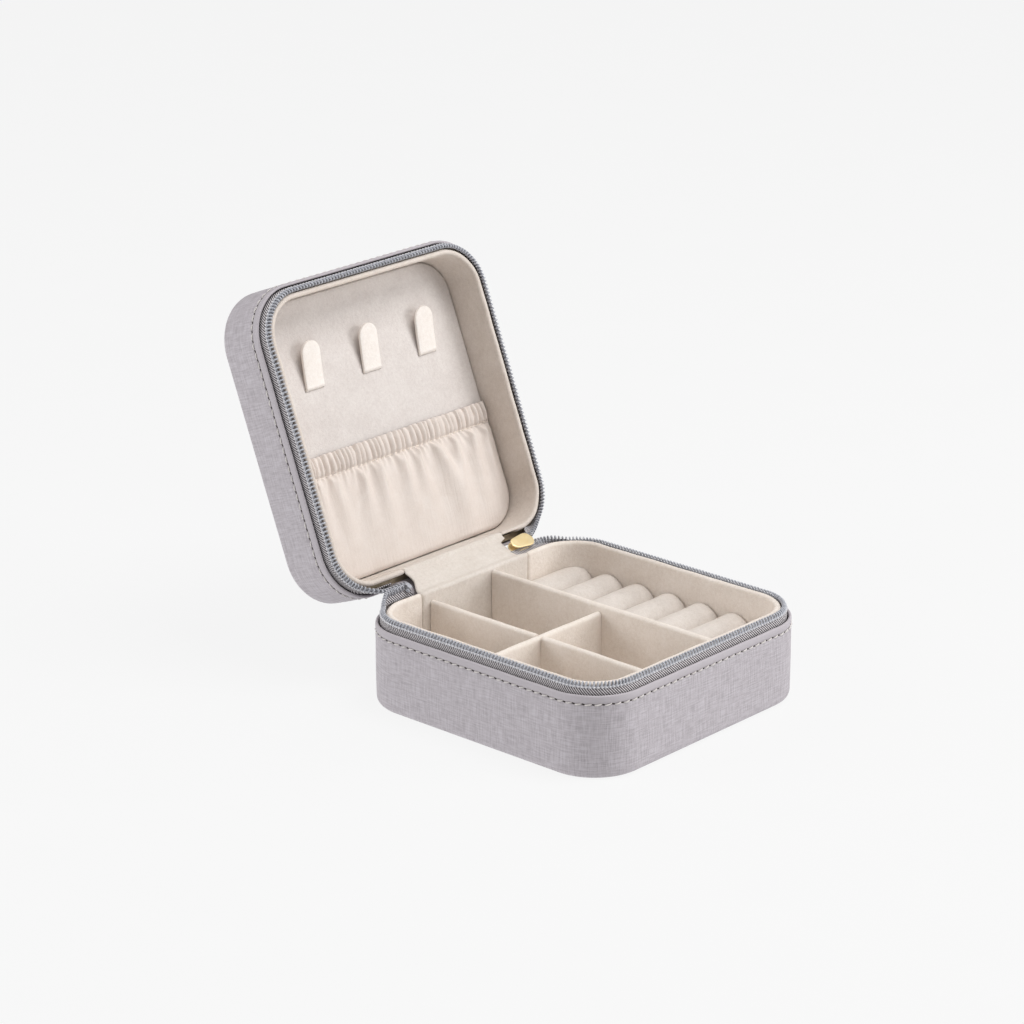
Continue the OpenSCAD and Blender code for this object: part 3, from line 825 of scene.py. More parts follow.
def left_end(half):
    """Left of the hinge: coil and tape leave the rim and meet the other half over the fold."""
    x_in, x_out = 42.0, 24.0
    ph = 0.0 if half == "base" else COIL_P / 2

    def uu(x):
        return smooth01((x + x_in) / 8.8)

    def dev(C, s):
        C = np.array(C)
        u = uu(C[:, 0])
        E = end_line(half, u)
        x, y, nx, ny = ring(s)
        y0 = HALF - COIL_IN
        # offset of each point from its coil's centre line, kept while the line moves
        cy = y - COIL_IN * ny
        oy, oz = C[:, 1] - cy, C[:, 2] - COIL_Z
        turned = line_weight(E[:, 0], E[:, 1]) * OPEN
        side = 1.0 if half == "base" else -1.0
        oz = oz * side
        c, sn = np.cos(turned), np.sin(turned)
        base_y = E[:, 0] - (y0 - cy) * (1 - u) * (1.0 if half == "base" else c)
        base_z = E[:, 1] + (y0 - cy) * (1 - u) * (0.0 if half == "base" else sn)
        return np.stack([C[:, 0], base_y + oy * c + oz * sn, base_z - oy * sn + oz * c], -1)

    bb = Builder()
    coil_mesh(bb, x_out + 0.3, S_EL + COIL_P, ph, COIL_Z, COIL_IN, same, dev=dev)
    core_line(bb, x_out + 0.4, S_EL + 0.5, COIL_IN, COIL_Z, same, dev=dev)
    sew_line(bb, x_out + 0.4, S_EL + 0.5, COIL_IN - 0.66, COIL_Z - 0.5, 0.3, same, dev=dev, phase=ph)
    o = bb.make(f"{half}_coil_end_left", M_COIL, mats=[M_CORE, M_GREYTHREAD], smooth=180)
    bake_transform(o)
    xs = np.linspace(-x_out, -x_in, 40)
    C = end_line(half, uu(xs))
    x, y, nx, ny = ring(-xs)
    dy = np.where(xs < -33, 17 - np.sqrt(np.clip(17 ** 2 - (np.abs(xs) - 33) ** 2, 0, None)), 0)
    if half == "base":
        C = C + np.stack([-dy + 0.25, 0 * dy - 0.45], -1)
        root = np.stack([48.62 - dy, np.full(len(xs), 25.6)], -1)
    else:
        r0 = opened2(48.62, 33.4)
        root = np.stack([r0[0] + dy * math.cos(OPEN) * -1, r0[1] + dy * math.sin(OPEN)], -1)
        C = C + np.stack([dy * math.cos(OPEN) * -1, dy * math.sin(OPEN)], -1) + 0.4 * (root - C) / np.linalg.norm(root - C, axis=1)[:, None]
    tb = Builder()
    w = end_tape(tb, xs, C, root)
    t = tb.make(f"{half}_tape_end_left", M_TAPE, smooth=60)
    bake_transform(t)
    return t


def right_end(half):
    """At the slider: the coil and a narrow web of tape swing over to the slider's mouth."""
    xin, xout = END_R, 31.3
    s0, s1 = S_ER - COIL_P, RING - 31.4
    target = np.array([47.9, 28.2]) if half == "base" else np.array([49.0, 29.9])

    def shift(x):
        return smooth01((xin - np.abs(x)) / (xin - xout))

    def dev(C, s):
        k = shift(C[:, 0])
        C = np.array(C)
        z0 = COIL_Z if half == "base" else 2 * PART - COIL_Z
        C[:, 1] += k * (target[0] - (HALF - COIL_IN))
        C[:, 2] += k * (target[1] - z0)
        return C

    def dev_lid(C, s):
        return mirror_top(dev(mirror_top(C), s))

    x0 = xout - (xin - xout) * 0.411 / 0.589

    def place_b(P):
        return turn(P, smooth01((xin - P[..., 0]) / (xin - xout)) * STURN, SY, SZ)

    def place_l(P):
        P = mirror_top(P)
        return turn(P, smooth01((P[..., 0] - x0) / (xin - x0)) * OPEN, AY, AZ)

    def place_l2(P):
        return turn(P, smooth01((P[..., 0] - x0) / (xin - x0)) * OPEN, AY, AZ)
    lid = half == "lid"
    ph = COIL_P / 2 if lid else 0.0
    hc = LID_COIL_Z if lid else COIL_Z
    place, d = (place_l, dev_lid) if lid else (place_b, dev)
    bb = Builder()
    coil_mesh(bb, s0, s1, ph, hc, COIL_IN, place, dev=d)
    core_line(bb, s0 + 0.5, s1 - 0.2, COIL_IN, hc, place, dev=d)
    sew_line(bb, s0 + 0.3, s1 - 0.3, COIL_IN - 0.66, hc - 0.5, 0.3, place, dev=d, phase=ph)
    o = bb.make(f"{half}_coil_end_right", M_COIL, mats=[M_CORE, M_GREYTHREAD], smooth=180)
    # tape, drawn for the closed case and turned with the coil
    xs = np.linspace(xin, xout if lid else 20.4, 34 if lid else 60)
    dy = np.where(xs > 33.0, 17 - np.sqrt(np.clip(17 ** 2 - (xs - 33) ** 2, 0, None)), 0)
    k = shift(xs)
    z0 = 2 * PART - COIL_Z if lid else COIL_Z
    C = np.stack([(HALF - COIL_IN) + k * (target[0] - (HALF - COIL_IN)) - dy + 0.3, z0 + k * (target[1] - z0)], -1)
    root = np.stack([48.66 - dy, np.full(len(xs), 33.6 if lid else 25.4)], -1)
    root = root + (C - root) * (0.25 * k[:, None])
    tb = Builder()
    end_tape(tb, xs, C, root, place=place_l2 if lid else place_b)
    t = tb.make(f"{half}_tape_end_right", M_TAPE, smooth=60)
    for q in (o, t):
        if lid:
            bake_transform(q)
        else:
            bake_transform(q)
    return t


for half in ("base", "lid"):
    tl_, tr_ = left_end(half), right_end(half)

# ---------------------------------------------------------------- boards
def board_band(name, z0, z1, place, body, node):
    prof = [(1.4, z0), (1.4, z1), (3.2, z1), (3.2, z0)]
    return put(band(name, prof, 0, RING, 3.0, M_BOARD, place, closed_ring=True), body, "board", node)


def plate_mesh(b, inset, z0, z1, r, place, mat=0, bulge=0.0, n=160, steps=5):
    """A flat pad with round corners and rolled edges: z0 is the shown face, z1 the far one."""
    S = np.linspace(0, RING, n + 1)[:-1]
    sg = 1 if z1 > z0 else -1
    prof = [(16.6, z0), (12.0, z0), (8.5, z0), (inset + r + 1.4, z0)]
    prof += [(inset + r - r * math.sin(a), z0 + sg * (r - r * math.cos(a))) for a in np.linspace(0, PI / 2, steps)]
    prof += [(inset + r - r * math.cos(a), z1 - sg * (r - r * math.sin(a))) for a in np.linspace(0, PI / 2, steps)]
    prof += [(8.5, z1), (16.6, z1)]
    prof = np.array(prof)
    P = np.stack([around(S, p[0], p[1] + 0 * S) for p in prof], 1)
    if bulge:
        for j in range(4):
            P[:, j, 2] -= sg * bulge * smooth01((prof[j, 0] - inset - r) / 7.0)
    SS = np.linspace(0, RING, n + 1)
    U = np.zeros((n + 1, len(prof), 2))
    QQ = np.concatenate([P, P[:1]], 0)
    U[..., 0], U[..., 1] = QQ[..., 0] * MM, QQ[..., 1] * MM
    k = b.grid(place(P), U, wrap_i=True, mat=mat)
    J = len(prof)
    for j in (0, J - 1):
        b.face([k + i * J + j for i in range(n)], [tuple(P[i, j, :2] * MM) for i in range(n)], mat=mat)


board_band("base_wall_greyboard", 2.8, 26.0, same, "base", "base_wall_board")
board_band("lid_wall_greyboard", 2.8, 17.0, lid_place, "lid", "lid_wall_board")
b = Builder()
plate_mesh(b, 2.4, 0.95, 2.72, 0.1, same)
put(b.make("base_bottom_greyboard", M_BOARD), "base", "board", "base_bottom_board")
b = Builder()
plate_mesh(b, 2.4, 0.95, 2.72, 0.1, lid_place)
put(b.make("lid_top_greyboard", M_BOARD), "lid", "board", "lid_top_board")


# ---------------------------------------------------------------- padded lining walls
def lining(name, h_rim, inner, place, body, node, seed, relief, lo_l=STRIP + 0.1, lo_r=STRIP + 0.1):
    """C-shaped padded wall with a rolled rim, open where the hinge strip passes."""
    o0, i0 = 3.3, inner
    r = (i0 - o0) / 2
    c = o0 + r
    prof = [(i0, 2.9), (i0, 8), (i0, 14), (i0, h_rim - r - 3.2), (i0, h_rim - r - 1.4)]
    prof += arc_pts(c, h_rim - r, r, 0, 180, 11)
    prof += [(o0, h_rim - r - 1.4), (o0, h_rim - r - 3.2), (o0, 2.9)]
    if h_rim < 24:
        prof = [p for p in prof if not (p[0] == i0 and p[1] in (8, 14))]
    prof = np.array(prof)
    wob, wob2 = noise1(seed, RING, 8, 3), noise1(seed + 5, RING, 8, 9)
    s0, s1 = lo_l, RING - lo_r
    ns = 300
    S = np.linspace(s0, s1, ns)
    # finer at both ends, which are rolled in
    extra = np.array([0, 0.12, 0.35, 0.7, 1.1])
    S = np.unique(np.concatenate([s0 + extra, S[2:-2], s1 - extra]))
    J = len(prof)
    P = np.zeros((len(S), J, 3))
    near = np.minimum(S - s0, s1 - S)
    pinch = np.clip(1 - near / 0.8, 0, 1) ** 2
    for j, (ins, z) in enumerate(prof):
        side = math.sin(PI * min(1, max(0, (z - 3) / (h_rim - 4))))
        d = np.zeros_like(S)
        if ins > c:
            d = 0.10 * side + 0.06 * wob(S) * side
        d = d - (ins - c) * 0.45 * pinch
        dz = (0.10 * wob2(S) - 0.35 * pinch) * (1 if z > h_rim - 3.5 else 0)
        ii = ins + d
        if relief and ins < c + 0.3:
            # hollowed from behind where the slider parks
            x, y_, _, _ = ring(S)
            zone = (S > RING / 2) & (x > 21.2) & (x < 31.7) & (y_ > 0)
            lim = 4.05
            if z > h_rim - 2.9:
                ii = np.where(zone, np.maximum(ii, lim), ii)
        P[:, j] = around(S, ii, z + dz)
    L = np.concatenate([lengths(prof), [lengths(prof)[-1] + 2]])
    U = np.zeros((len(S), J + 1, 2))
    U[..., 0] = S[:, None] * MM
    U[..., 1] = L[None, :] * MM
    b = Builder()
    k = b.grid(place(P), U, wrap_j=True)
    for i in (0, len(S) - 1):
        b.face([k + i * J + j for j in range(J)], [(0, 0)] * J)
    # the lid's walls get the darker, painted-shade copy of the velvet
    o = b.make(name, M_VELVET if body == "base" else M_LIDWALL_SHADED, smooth=55)
    put(o, body, "velvet", node)
    return o


lining("base_lining_wall", 29.35, 5.3, same, "base", "base_lining", 41, 1)
lining("lid_lining_wall", 20.0, 5.0, lid_place, "lid", "lid_lining", 43, 2, lo_l=20.6)

# floor pad
b = Builder()
plate_mesh(b, 5.45, 4.2, 2.9, 0.35, same, bulge=0.0)
o = put(b.make("base_floor_pad", M_VELVET), "base", "velvet", "base_floor")


# ---------------------------------------------------------------- dividers
def divider(name, axis, at, lo, hi, ztop, node, seed, notch=None):
    """Covered board with a rolled top edge; stands on the floor pad."""
    t = 1.1
    n = 90
    L = np.linspace(lo, hi, n)
    prof = [(t, 4.3), (t, 9), (t, 15), (t, ztop - t - 2), (t, ztop - t - 0.7)] + arc_pts(0, ztop - t, t, 0, 180, 11) + \
           [(-t, ztop - t - 0.7), (-t, ztop - t - 2), (-t, 15), (-t, 9), (-t, 4.3)]
    prof = np.array(prof)
    g = np.random.default_rng(seed)
    ph = g.uniform(0, 6, 4)
    wz = 0.05 * np.sin(L / 9 + ph[0]) + 0.03 * np.sin(L / 3.1 + ph[1])
    wx = 0.10 * np.sin(L / 14 + ph[2])
    J = len(prof)
    P = np.zeros((n, J, 3))
    for j, (u, z) in enumerate(prof):
        k = max(0.0, (z - 4.3) / (ztop - 4.3))
        uu = u + wx * k * 0.6
        zz = z + wz * (1 if z > ztop - 3 else 0)
        if notch is not None:
            a, under = notch
            inside = np.abs(L - a) < 1.25
            mid = (ztop + 4.2) / 2
            if under:
                zz = np.where(inside, np.maximum(zz, mid + 0.05), zz)
            else:
                zz = np.where(inside, np.minimum(zz, mid - 0.05), zz)
        P[:, j, axis] = L
        P[:, j, 1 - axis] = at + uu
        P[:, j, 2] = zz
    LL = np.concatenate([lengths(prof), [lengths(prof)[-1] + 2]])
    U = np.zeros((n, J + 1, 2))
    U[..., 0], U[..., 1] = L[:, None] * MM, LL[None, :] * MM
    b = Builder()
    k = b.grid(P, U, wrap_j=True)
    for i in (0, n - 1):
        b.face([k + i * J + j for j in range(J)], [(0, 0)] * J)
    o = b.make(name, M_VELVET, smooth=55)
    put(o, "base", "velvet", node)
    return o


divider("divider_tall_board", 1, 8.0, -44.58, 44.58, 28.3, "divider_tall", 5)
divider("divider_low_board", 1, -20.0, -44.58, 44.58, 26.1, "divider_low", 6, notch=(0.0, False))
divider("divider_cross_board", 0, 0.0, -44.58, 6.85, 26.1, "divider_cross", 7, notch=(-20.0, True))


# ---------------------------------------------------------------- ring rolls
def roll(k):
    r = 6.37
    y = 27.6 - 12.9 * (k - 2)
    x0, x1 = 9.22, 44.62
    g = np.random.default_rng(60 + k)
    zt = 20.8
    xs = np.concatenate([[x0, x0 + 0.1, x0 + 0.35, x0 + 0.8], np.linspace(x0 + 1.6, x1 - 1.6, 26), [x1 - 0.8, x1 - 0.35, x1 - 0.1, x1]])
    a = np.radians(np.linspace(0, 180, 25))
    prof = [(r * 0.97, 4.35), (r, 8), (r, 12.5)] + [(r * math.cos(t), zt - r + r * math.sin(t)) for t in a] + [(-r, 12.5), (-r, 8), (-r * 0.97, 4.35)]
    prof = np.array(prof)
    P = np.zeros((len(xs), len(prof), 3))
    near = np.minimum(xs - x0, x1 - xs)
    rl = 1 - 0.10 * np.clip(1 - near / 0.8, 0, 1) ** 2.2
    ph = g.uniform(0, 6, 5)
    puff = 0.09 * np.sin(xs / 6.5 + ph[0]) + 0.05 * np.sin(xs / 2.7 + ph[1])
    for j, (u, z) in enumerate(prof):
        top = max(0, (z - 10) / (zt - 10))
        P[:, j, 0] = xs
        P[:, j, 1] = y + u * (1 - (1 - rl) * 0.4) + 0.12 * math.sin(ph[2] + j) * 0
        P[:, j, 2] = 4.35 + (z - 4.35) * rl + puff * top
    P[..., 1] = np.clip(P[..., 1], -44.55, 44.5)
    # round inner corners of the case
    c = HALF - CR
    rr = CR - 5.5
    q = (P[..., 0] > c) & (np.abs(P[..., 1]) > c)
    dx, dy = P[..., 0] - c, np.abs(P[..., 1]) - c
    d = np.hypot(dx, dy)
    f = np.where(q & (d > rr), rr / np.maximum(d, 1e-6), 1)
    P[..., 0] = np.where(q, c + dx * f, P[..., 0])
    P[..., 1] = np.where(q, np.sign(P[..., 1]) * (c + dy * f), P[..., 1])
    LL = np.concatenate([lengths(prof), [lengths(prof)[-1] + 12]])
    U = np.zeros((len(xs), len(prof) + 1, 2))
    U[..., 0], U[..., 1] = xs[:, None] * MM, LL[None, :] * MM
    b = Builder()
    J = len(prof)
    kk = b.grid(P, U, wrap_j=True)
    for i in (0, len(xs) - 1):
        b.face([kk + i * J + j for j in range(J)], [(0, 0)] * J)
    o = b.make(f"ring_roll_foam_{k}", M_ROLL, smooth=60)
    put(o, "base", "roll_velvet", f"ring_roll_{k}")


for k in range(1, 8):
    roll(k)


# ---------------------------------------------------------------- lid panel and hooks
def lid_closed(P):
    return lid_open(P)


b = Builder()
plate_mesh(b, 5.2, 43.2, 46.0, 0.75, lid_closed, bulge=0.12, n=240)
panel = b.make("lid_panel_pad", M_PANEL, smooth=50)
for k in (-1, 0, 1):
    cx = 1.6 + 25.4 * k
    hw, y0, y1, z0, z1 = 4.15, -16.95, -15.85, 42.0, 45.4
    V = [(cx + sx * hw, y, z) for sx in (-1, 1) for y in (y0, y1) for z in (z0, z1)]
    F = [(0, 1, 3, 2), (4, 6, 7, 5), (0, 4, 5, 1), (2, 3, 7, 6), (0, 2, 6, 4), (1, 5, 7, 3)]
    cut = mesh_obj(f"slit_cutter_{k + 1}", lid_open(np.array(V)), F, M_PANEL)
    m = panel.modifiers.new("slit", "BOOLEAN")
    m.operation, m.object, m.solver = "DIFFERENCE", cut, "EXACT"
    bpy.context.view_layer.objects.active = panel
    with bpy.context.temp_override(object=panel, active_object=panel, selected_objects=[panel]):
        bpy.ops.object.modifier_apply(modifier=m.name)
    bpy.data.objects.remove(cut)
panel.data.polygons.foreach_set("use_smooth", [True] * len(panel.data.polygons))
panel.data.set_sharp_from_angle(angle=math.radians(50))
put(panel, "lid", "velvet", "lid_panel")


def hook(k, node):
    """Velvet-covered tab: comes out of its slit and leans off the panel, round at the free end."""
    cx = 1.6 + 25.4 * k
    w, t, tilt = 3.9, 0.5, math.radians(13)
    # centre line in (y, z) of the closed lid
    line = [(-16.4, 45.0), (-16.4, 43.9), (-16.4, 43.2)]
    r = 0.75
    for a in np.linspace(0, PI / 2 + tilt, 7)[1:]:
        line.append((-16.4 - r + r * math.cos(a), 43.2 - r * math.sin(a)))
    y, z = line[-1]
    d = (-math.cos(tilt), -math.sin(tilt))
    total = 14.2
    for q in np.concatenate([np.linspace(0.8, total - w, 9), total - w + w * np.sin(np.linspace(0.12, PI / 2, 12))]):
        bow = 0.25 * math.sin(PI * min(1, q / total))
        line.append((y + d[0] * q + d[1] * bow * 0, z + d[1] * q + bow * 0.6))
    line = np.array(line)
    n = len(line)
    q = np.concatenate([np.full(n - 21, -1.0), np.linspace(0.8, total - w, 9), total - w + w * np.sin(np.linspace(0.12, PI / 2, 12))])
    hw = np.where(q > total - w, w * np.sqrt(np.clip(1 - ((q - (total - w)) / w) ** 2, 0.0, 1)), w)
    hw = np.maximum(hw, 0.12)
    T = np.gradient(line, axis=0)
    T /= np.linalg.norm(T, axis=1)[:, None]
    N = np.stack([-T[:, 1], T[:, 0]], -1)
    th = np.minimum(t, hw * 0.9 + 0.05)
    sec = []
    for a in np.radians(np.linspace(0, 360, 25)[:-1]):
        sec.append((math.cos(a), math.sin(a)))
    J = len(sec)
    P = np.zeros((n, J, 3))
    for j, (c, s) in enumerate(sec):
        e = 0.42 * th
        u = np.sign(c) * (np.maximum(hw - th, 0) * (1 if abs(c) > 0.01 else 0)) + th * c
        # spread the section's corners out so the flats stay flat
        flat = np.clip(c * 1.0, -1, 1)
        u = (hw - th) * np.sign(flat) * min(1.0, abs(flat) * 2.2) + th * c
        v = th * np.sign(s) * min(1.0, abs(s) * 1.25)
        P[:, j, 0] = cx + u
        P[:, j, 1] = line[:, 0] + N[:, 0] * v
        P[:, j, 2] = line[:, 1] + N[:, 1] * v
    U = np.zeros((n, J + 1, 2))
    U[..., 0] = np.linspace(0, 0.018, n)[:, None]
    U[..., 1] = np.linspace(0, 0.016, J + 1)[None, :]
    b = Builder()
    kk = b.grid(lid_open(P), U, wrap_j=True)
    for i in (0, n - 1):
        b.face([kk + i * J + j for j in range(J)], [(0, 0)] * J)
    o = b.make(f"{node}_tab", M_HOOK, smooth=50)
    return put(o, "lid", "velvet", node)


for k, node in ((-1, "hook_left"), (0, "hook_centre"), (1, "hook_right")):
    hook(k, node)

# ---------------------------------------------------------------- gathered pocket
PY0, PY1 = 4.1, 44.66          # elastic edge and lower edge, closed-lid y
HEAD = 6.9                     # depth of the gathered heading


def pocket():
    nx, ny = 420, 96
    xi = np.linspace(-1, 1, nx)
    yy = PY0 + (PY1 - PY0) * np.concatenate([np.linspace(0, 0.2, 34)[:-1], np.linspace(0.2, 0.96, 50)[:-1], np.linspace(0.96, 1.0, 14)])
    ny = len(yy)
    c, rr = HALF - CR, CR - 5.34
    hw = np.where(yy > c, c + np.sqrt(np.clip(rr ** 2 - (yy - c) ** 2, 0, None)), HALF - 5.34)
    X = xi[:, None] * hw[None, :]
    Y = np.repeat(yy[None, :], nx, 0)
    g = np.random.default_rng(12)
    u = X
    # gathers: an uneven row of small pleats under the elastic
    edges = [-46.0]
    while edges[-1] < 46:
        edges.append(edges[-1] + g.uniform(1.5, 2.7))
    edges = np.array(edges)
    amp = g.uniform(0.55, 1.0, len(edges))
    lean = g.uniform(-0.35, 0.35, len(edges))

    def pleat(xv, sharp=1.0):
        i = np.clip(np.searchsorted(edges, xv) - 1, 0, len(edges) - 2)
        f = (xv - edges[i]) / (edges[i + 1] - edges[i])
        f = np.clip(f + lean[i] * f * (1 - f), 0, 1)
        return amp[i] * np.sin(PI * f) ** sharp

    D = Y - PY0
    t_head = np.clip(D / HEAD, 0, 1)
    shift = 0.35 * np.sin(u * 0.37 + 1.0) * t_head
    head = pleat(u + shift, 0.75)
    prof_head = 0.35 + 0.65 * np.sin(PI * np.clip(t_head * 1.02, 0, 1)) ** 0.6
    Hh = 0.5 + 1.5 * head * (0.75 + 0.25 * prof_head) + 0.8 * np.sin(PI * np.clip(t_head, 0, 1)) ** 0.7
    # fine free ruffle at the very edge
    Hh += 0.25 * np.sin(u * 2.1 + 2 * np.sin(u * 0.31)) * np.clip(1 - D / 1.6, 0, 1)
    # below the seam: pleats fan out, merge and die away
    Db = np.clip(D - HEAD, 0, None)
    fan = np.zeros_like(u)
    for i in range(len(edges) - 1):
        mid = (edges[i] + edges[i + 1]) / 2
        spread = mid * (0.012 * Db) + lean[i] * 0.35 * Db
        reach = g.uniform(3.5, 9.0) * (1.6 if i % 5 == 0 else 1)
        width = 0.62 + 0.16 * Db
        a = amp[i] * (1.0 if i % 2 else 0.75)
        fan += a * np.exp(-((u - mid - spread) / width) ** 2) * np.exp(-(Db / reach) ** 1.3)
    long_folds = np.zeros_like(u)
    for m0, sl, wd, aa, rc in ((-36, 0.03, 2.2, 0.7, 26), (-27.5, -0.08, 2.8, 0.9, 24), (-18, 0.06, 2.4, 0.75, 20), (-8.5, -0.10, 3.0, 1.0, 27),
                               (1.0, 0.08, 2.6, 0.8, 22), (9.5, -0.05, 2.7, 0.75, 20), (17.5, 0.16, 3.0, 1.1, 30), (25.5, -0.06, 2.4, 0.7, 22),
                               (33.0, 0.05, 2.6, 0.9, 26), (40.0, 0.04, 2.0, 0.6, 26)):
        cc = m0 + sl * Db + 0.6 * np.sin(Db / 6 + m0)
        w = wd * (0.45 + 0.055 * Db)
        long_folds += aa * np.exp(-((u - cc) / w) ** 2) * np.exp(-(Db / rc) ** 2) * np.clip(Db / 2.0, 0, 1)
    puff = 1.1 * np.sin(PI * np.clip(Db / (PY1 - PY0 - HEAD), 0, 1)) ** 0.55
    Hb = 0.42 + 1.5 * fan + 2.35 * long_folds + puff
    Hb += 0.10 * np.sin(u / 3.3 + Db / 5.0) * np.sin(Db / 4.0)
    seam = np.exp(-((D - HEAD) / 0.55) ** 2)
    k = smooth01((D - HEAD + 0.4) / 0.8)
    H = Hh * (1 - k) + Hb * k
    H = H * (1 - 0.62 * seam) + 0.30 * seam + 0.28 * seam * pleat(u, 0.7)
    # tucked in along the sides and the lower edge
    side = np.clip((hw[None, :] - np.abs(X)) / 2.3, 0, 1)
    low = np.clip((PY1 - Y) / 1.7, 0, 1)
    tuck = np.sqrt(np.clip(1 - (1 - side) ** 2, 0, 1)) * np.sqrt(np.clip(1 - (1 - low) ** 2, 0, 1))
    H = 0.02 + (H - 0.02) * tuck
    # how far the edge itself dips where pleats pull it
    Yt = Y + (0.55 * (1 - head) - 0.2) * np.clip(1 - D / 2.2, 0, 1)
    Z = 43.12 - H
    front = np.stack([X, Yt, Z], -1)
    back_z = np.minimum(Z + 0.38, 43.16)
    back = np.stack([X, Yt + 0.10 * np.clip(1 - D / 1.0, 0, 1), back_z], -1)
    U = np.stack([X * 1.25, Y], -1) * MM
    b = Builder()
    f0 = b.grid(lid_open(front), U)
    f1 = b.grid(lid_open(back), U)

    def idx(base, i, j):
        return base + i * ny + j
    for i in range(nx - 1):
        for j in (0, ny - 1):
            b.face([idx(f0, i, j), idx(f0, i + 1, j), idx(f1, i + 1, j), idx(f1, i, j)], [tuple(U[i, j])] * 4)
    for j in range(ny - 1):
        for i in (0, nx - 1):
            b.face([idx(f0, i, j), idx(f0, i, j + 1), idx(f1, i, j + 1), idx(f1, i, j)], [tuple(U[i, j])] * 4)
    o = b.make("pocket_gathered", M_POCKET, smooth=75)
    put(o, "lid", "pocket_velvet", "pocket")
    # seam thread of the channel: small stitches that sink between the pleats
    tb = Builder()
    js = int(np.argmin(np.abs(yy - (PY0 + HEAD))))
    n_st = 44
    for m in range(n_st):
        a0 = -43.0 + 86.0 * m / n_st + 0.25
        a1 = a0 + 1.45
        xs = np.linspace(a0, a1, 6)
        zz = np.interp(xs, X[:, js], Z[:, js])
        bow = np.sin(PI * np.linspace(0, 1, 6)) ** 0.6
        C = np.stack([xs, np.full(6, yy[js]) + 0.08 * math.sin(m * 1.7), zz - 0.26 * bow + 0.10], -1)
        q = 6
        aa = np.linspace(0, 2 * PI, q + 1)[:-1]
        P = C[:, None, :] + 0.19 * (np.cos(aa)[None, :, None] * np.array([0, 1.0, 0]) + np.sin(aa)[None, :, None] * np.array([0, 0, 1.0]))
        UU = np.zeros((6, q + 1, 2))
        UU[..., 0] = (xs * MM)[:, None]
        kk = tb.grid(lid_open(P), UU, wrap_j=True)
        for e in (0, 5):
            tb.face([kk + e * q + j for j in range(q)], [(0, 0)] * q)
    t = tb.make("pocket_seam_thread", M_CREAM, smooth=60)
    put(t, "lid", "pocket_velvet")
    return o


pocket()

b = Builder()
n = 60
xs = np.linspace(-44.3, 44.3, n)
wav = 0.12 * np.sin(xs * 2.6)
prof = [(5.75, -0.33), (10.3, -0.33), (10.3, 0.33), (5.75, 0.33)]
P = np.zeros((n, 4, 3))
for j, (y, z) in enumerate(prof):
    P[:, j, 0], P[:, j, 1], P[:, j, 2] = xs, y, 42.55 + z * 0.8 + wav * 0.5
U = np.zeros((n, 5, 2))
U[..., 0], U[..., 1] = xs[:, None] * MM, (np.arange(5) * 0.002)[None, :]
kk = b.grid(lid_open(P), U, wrap_j=True)
for i in (0, n - 1):
    b.face([kk + i * 4 + j for j in range(4)], [(0, 0)] * 4)
put(b.make("pocket_elastic_band", M_ELASTIC), "lid", "elastic", "pocket_elastic")


# ---------------------------------------------------------------- hinge strips
def bez(a, b_, c, d, t):
    t = np.asarray(t)[:, None]
    return a * (1 - t) ** 3 + b_ * 3 * t * (1 - t) ** 2 + c * 3 * t * t * (1 - t) + d * t ** 3


def opened(y, z):
    return lid_open(np.array([0.0, y, z]))[1:]


UP = np.array([math.sin(OPEN), math.cos(OPEN)])


def strip_path(p, q, k, n):
    a, d = np.array(p, float), opened(*q)
    return bez(a, a + np.array([0, k]), d - UP * k, d, np.linspace(0, 1, n))


def resample(P, step):
    L = np.concatenate([[0], np.cumsum(np.hypot(*np.diff(P, axis=0).T))])
    n = max(2, int(L[-1] / step))
    t = np.linspace(0, L[-1], n)
    return np.stack([np.interp(t, L, P[:, 0]), np.interp(t, L, P[:, 1])], -1), t


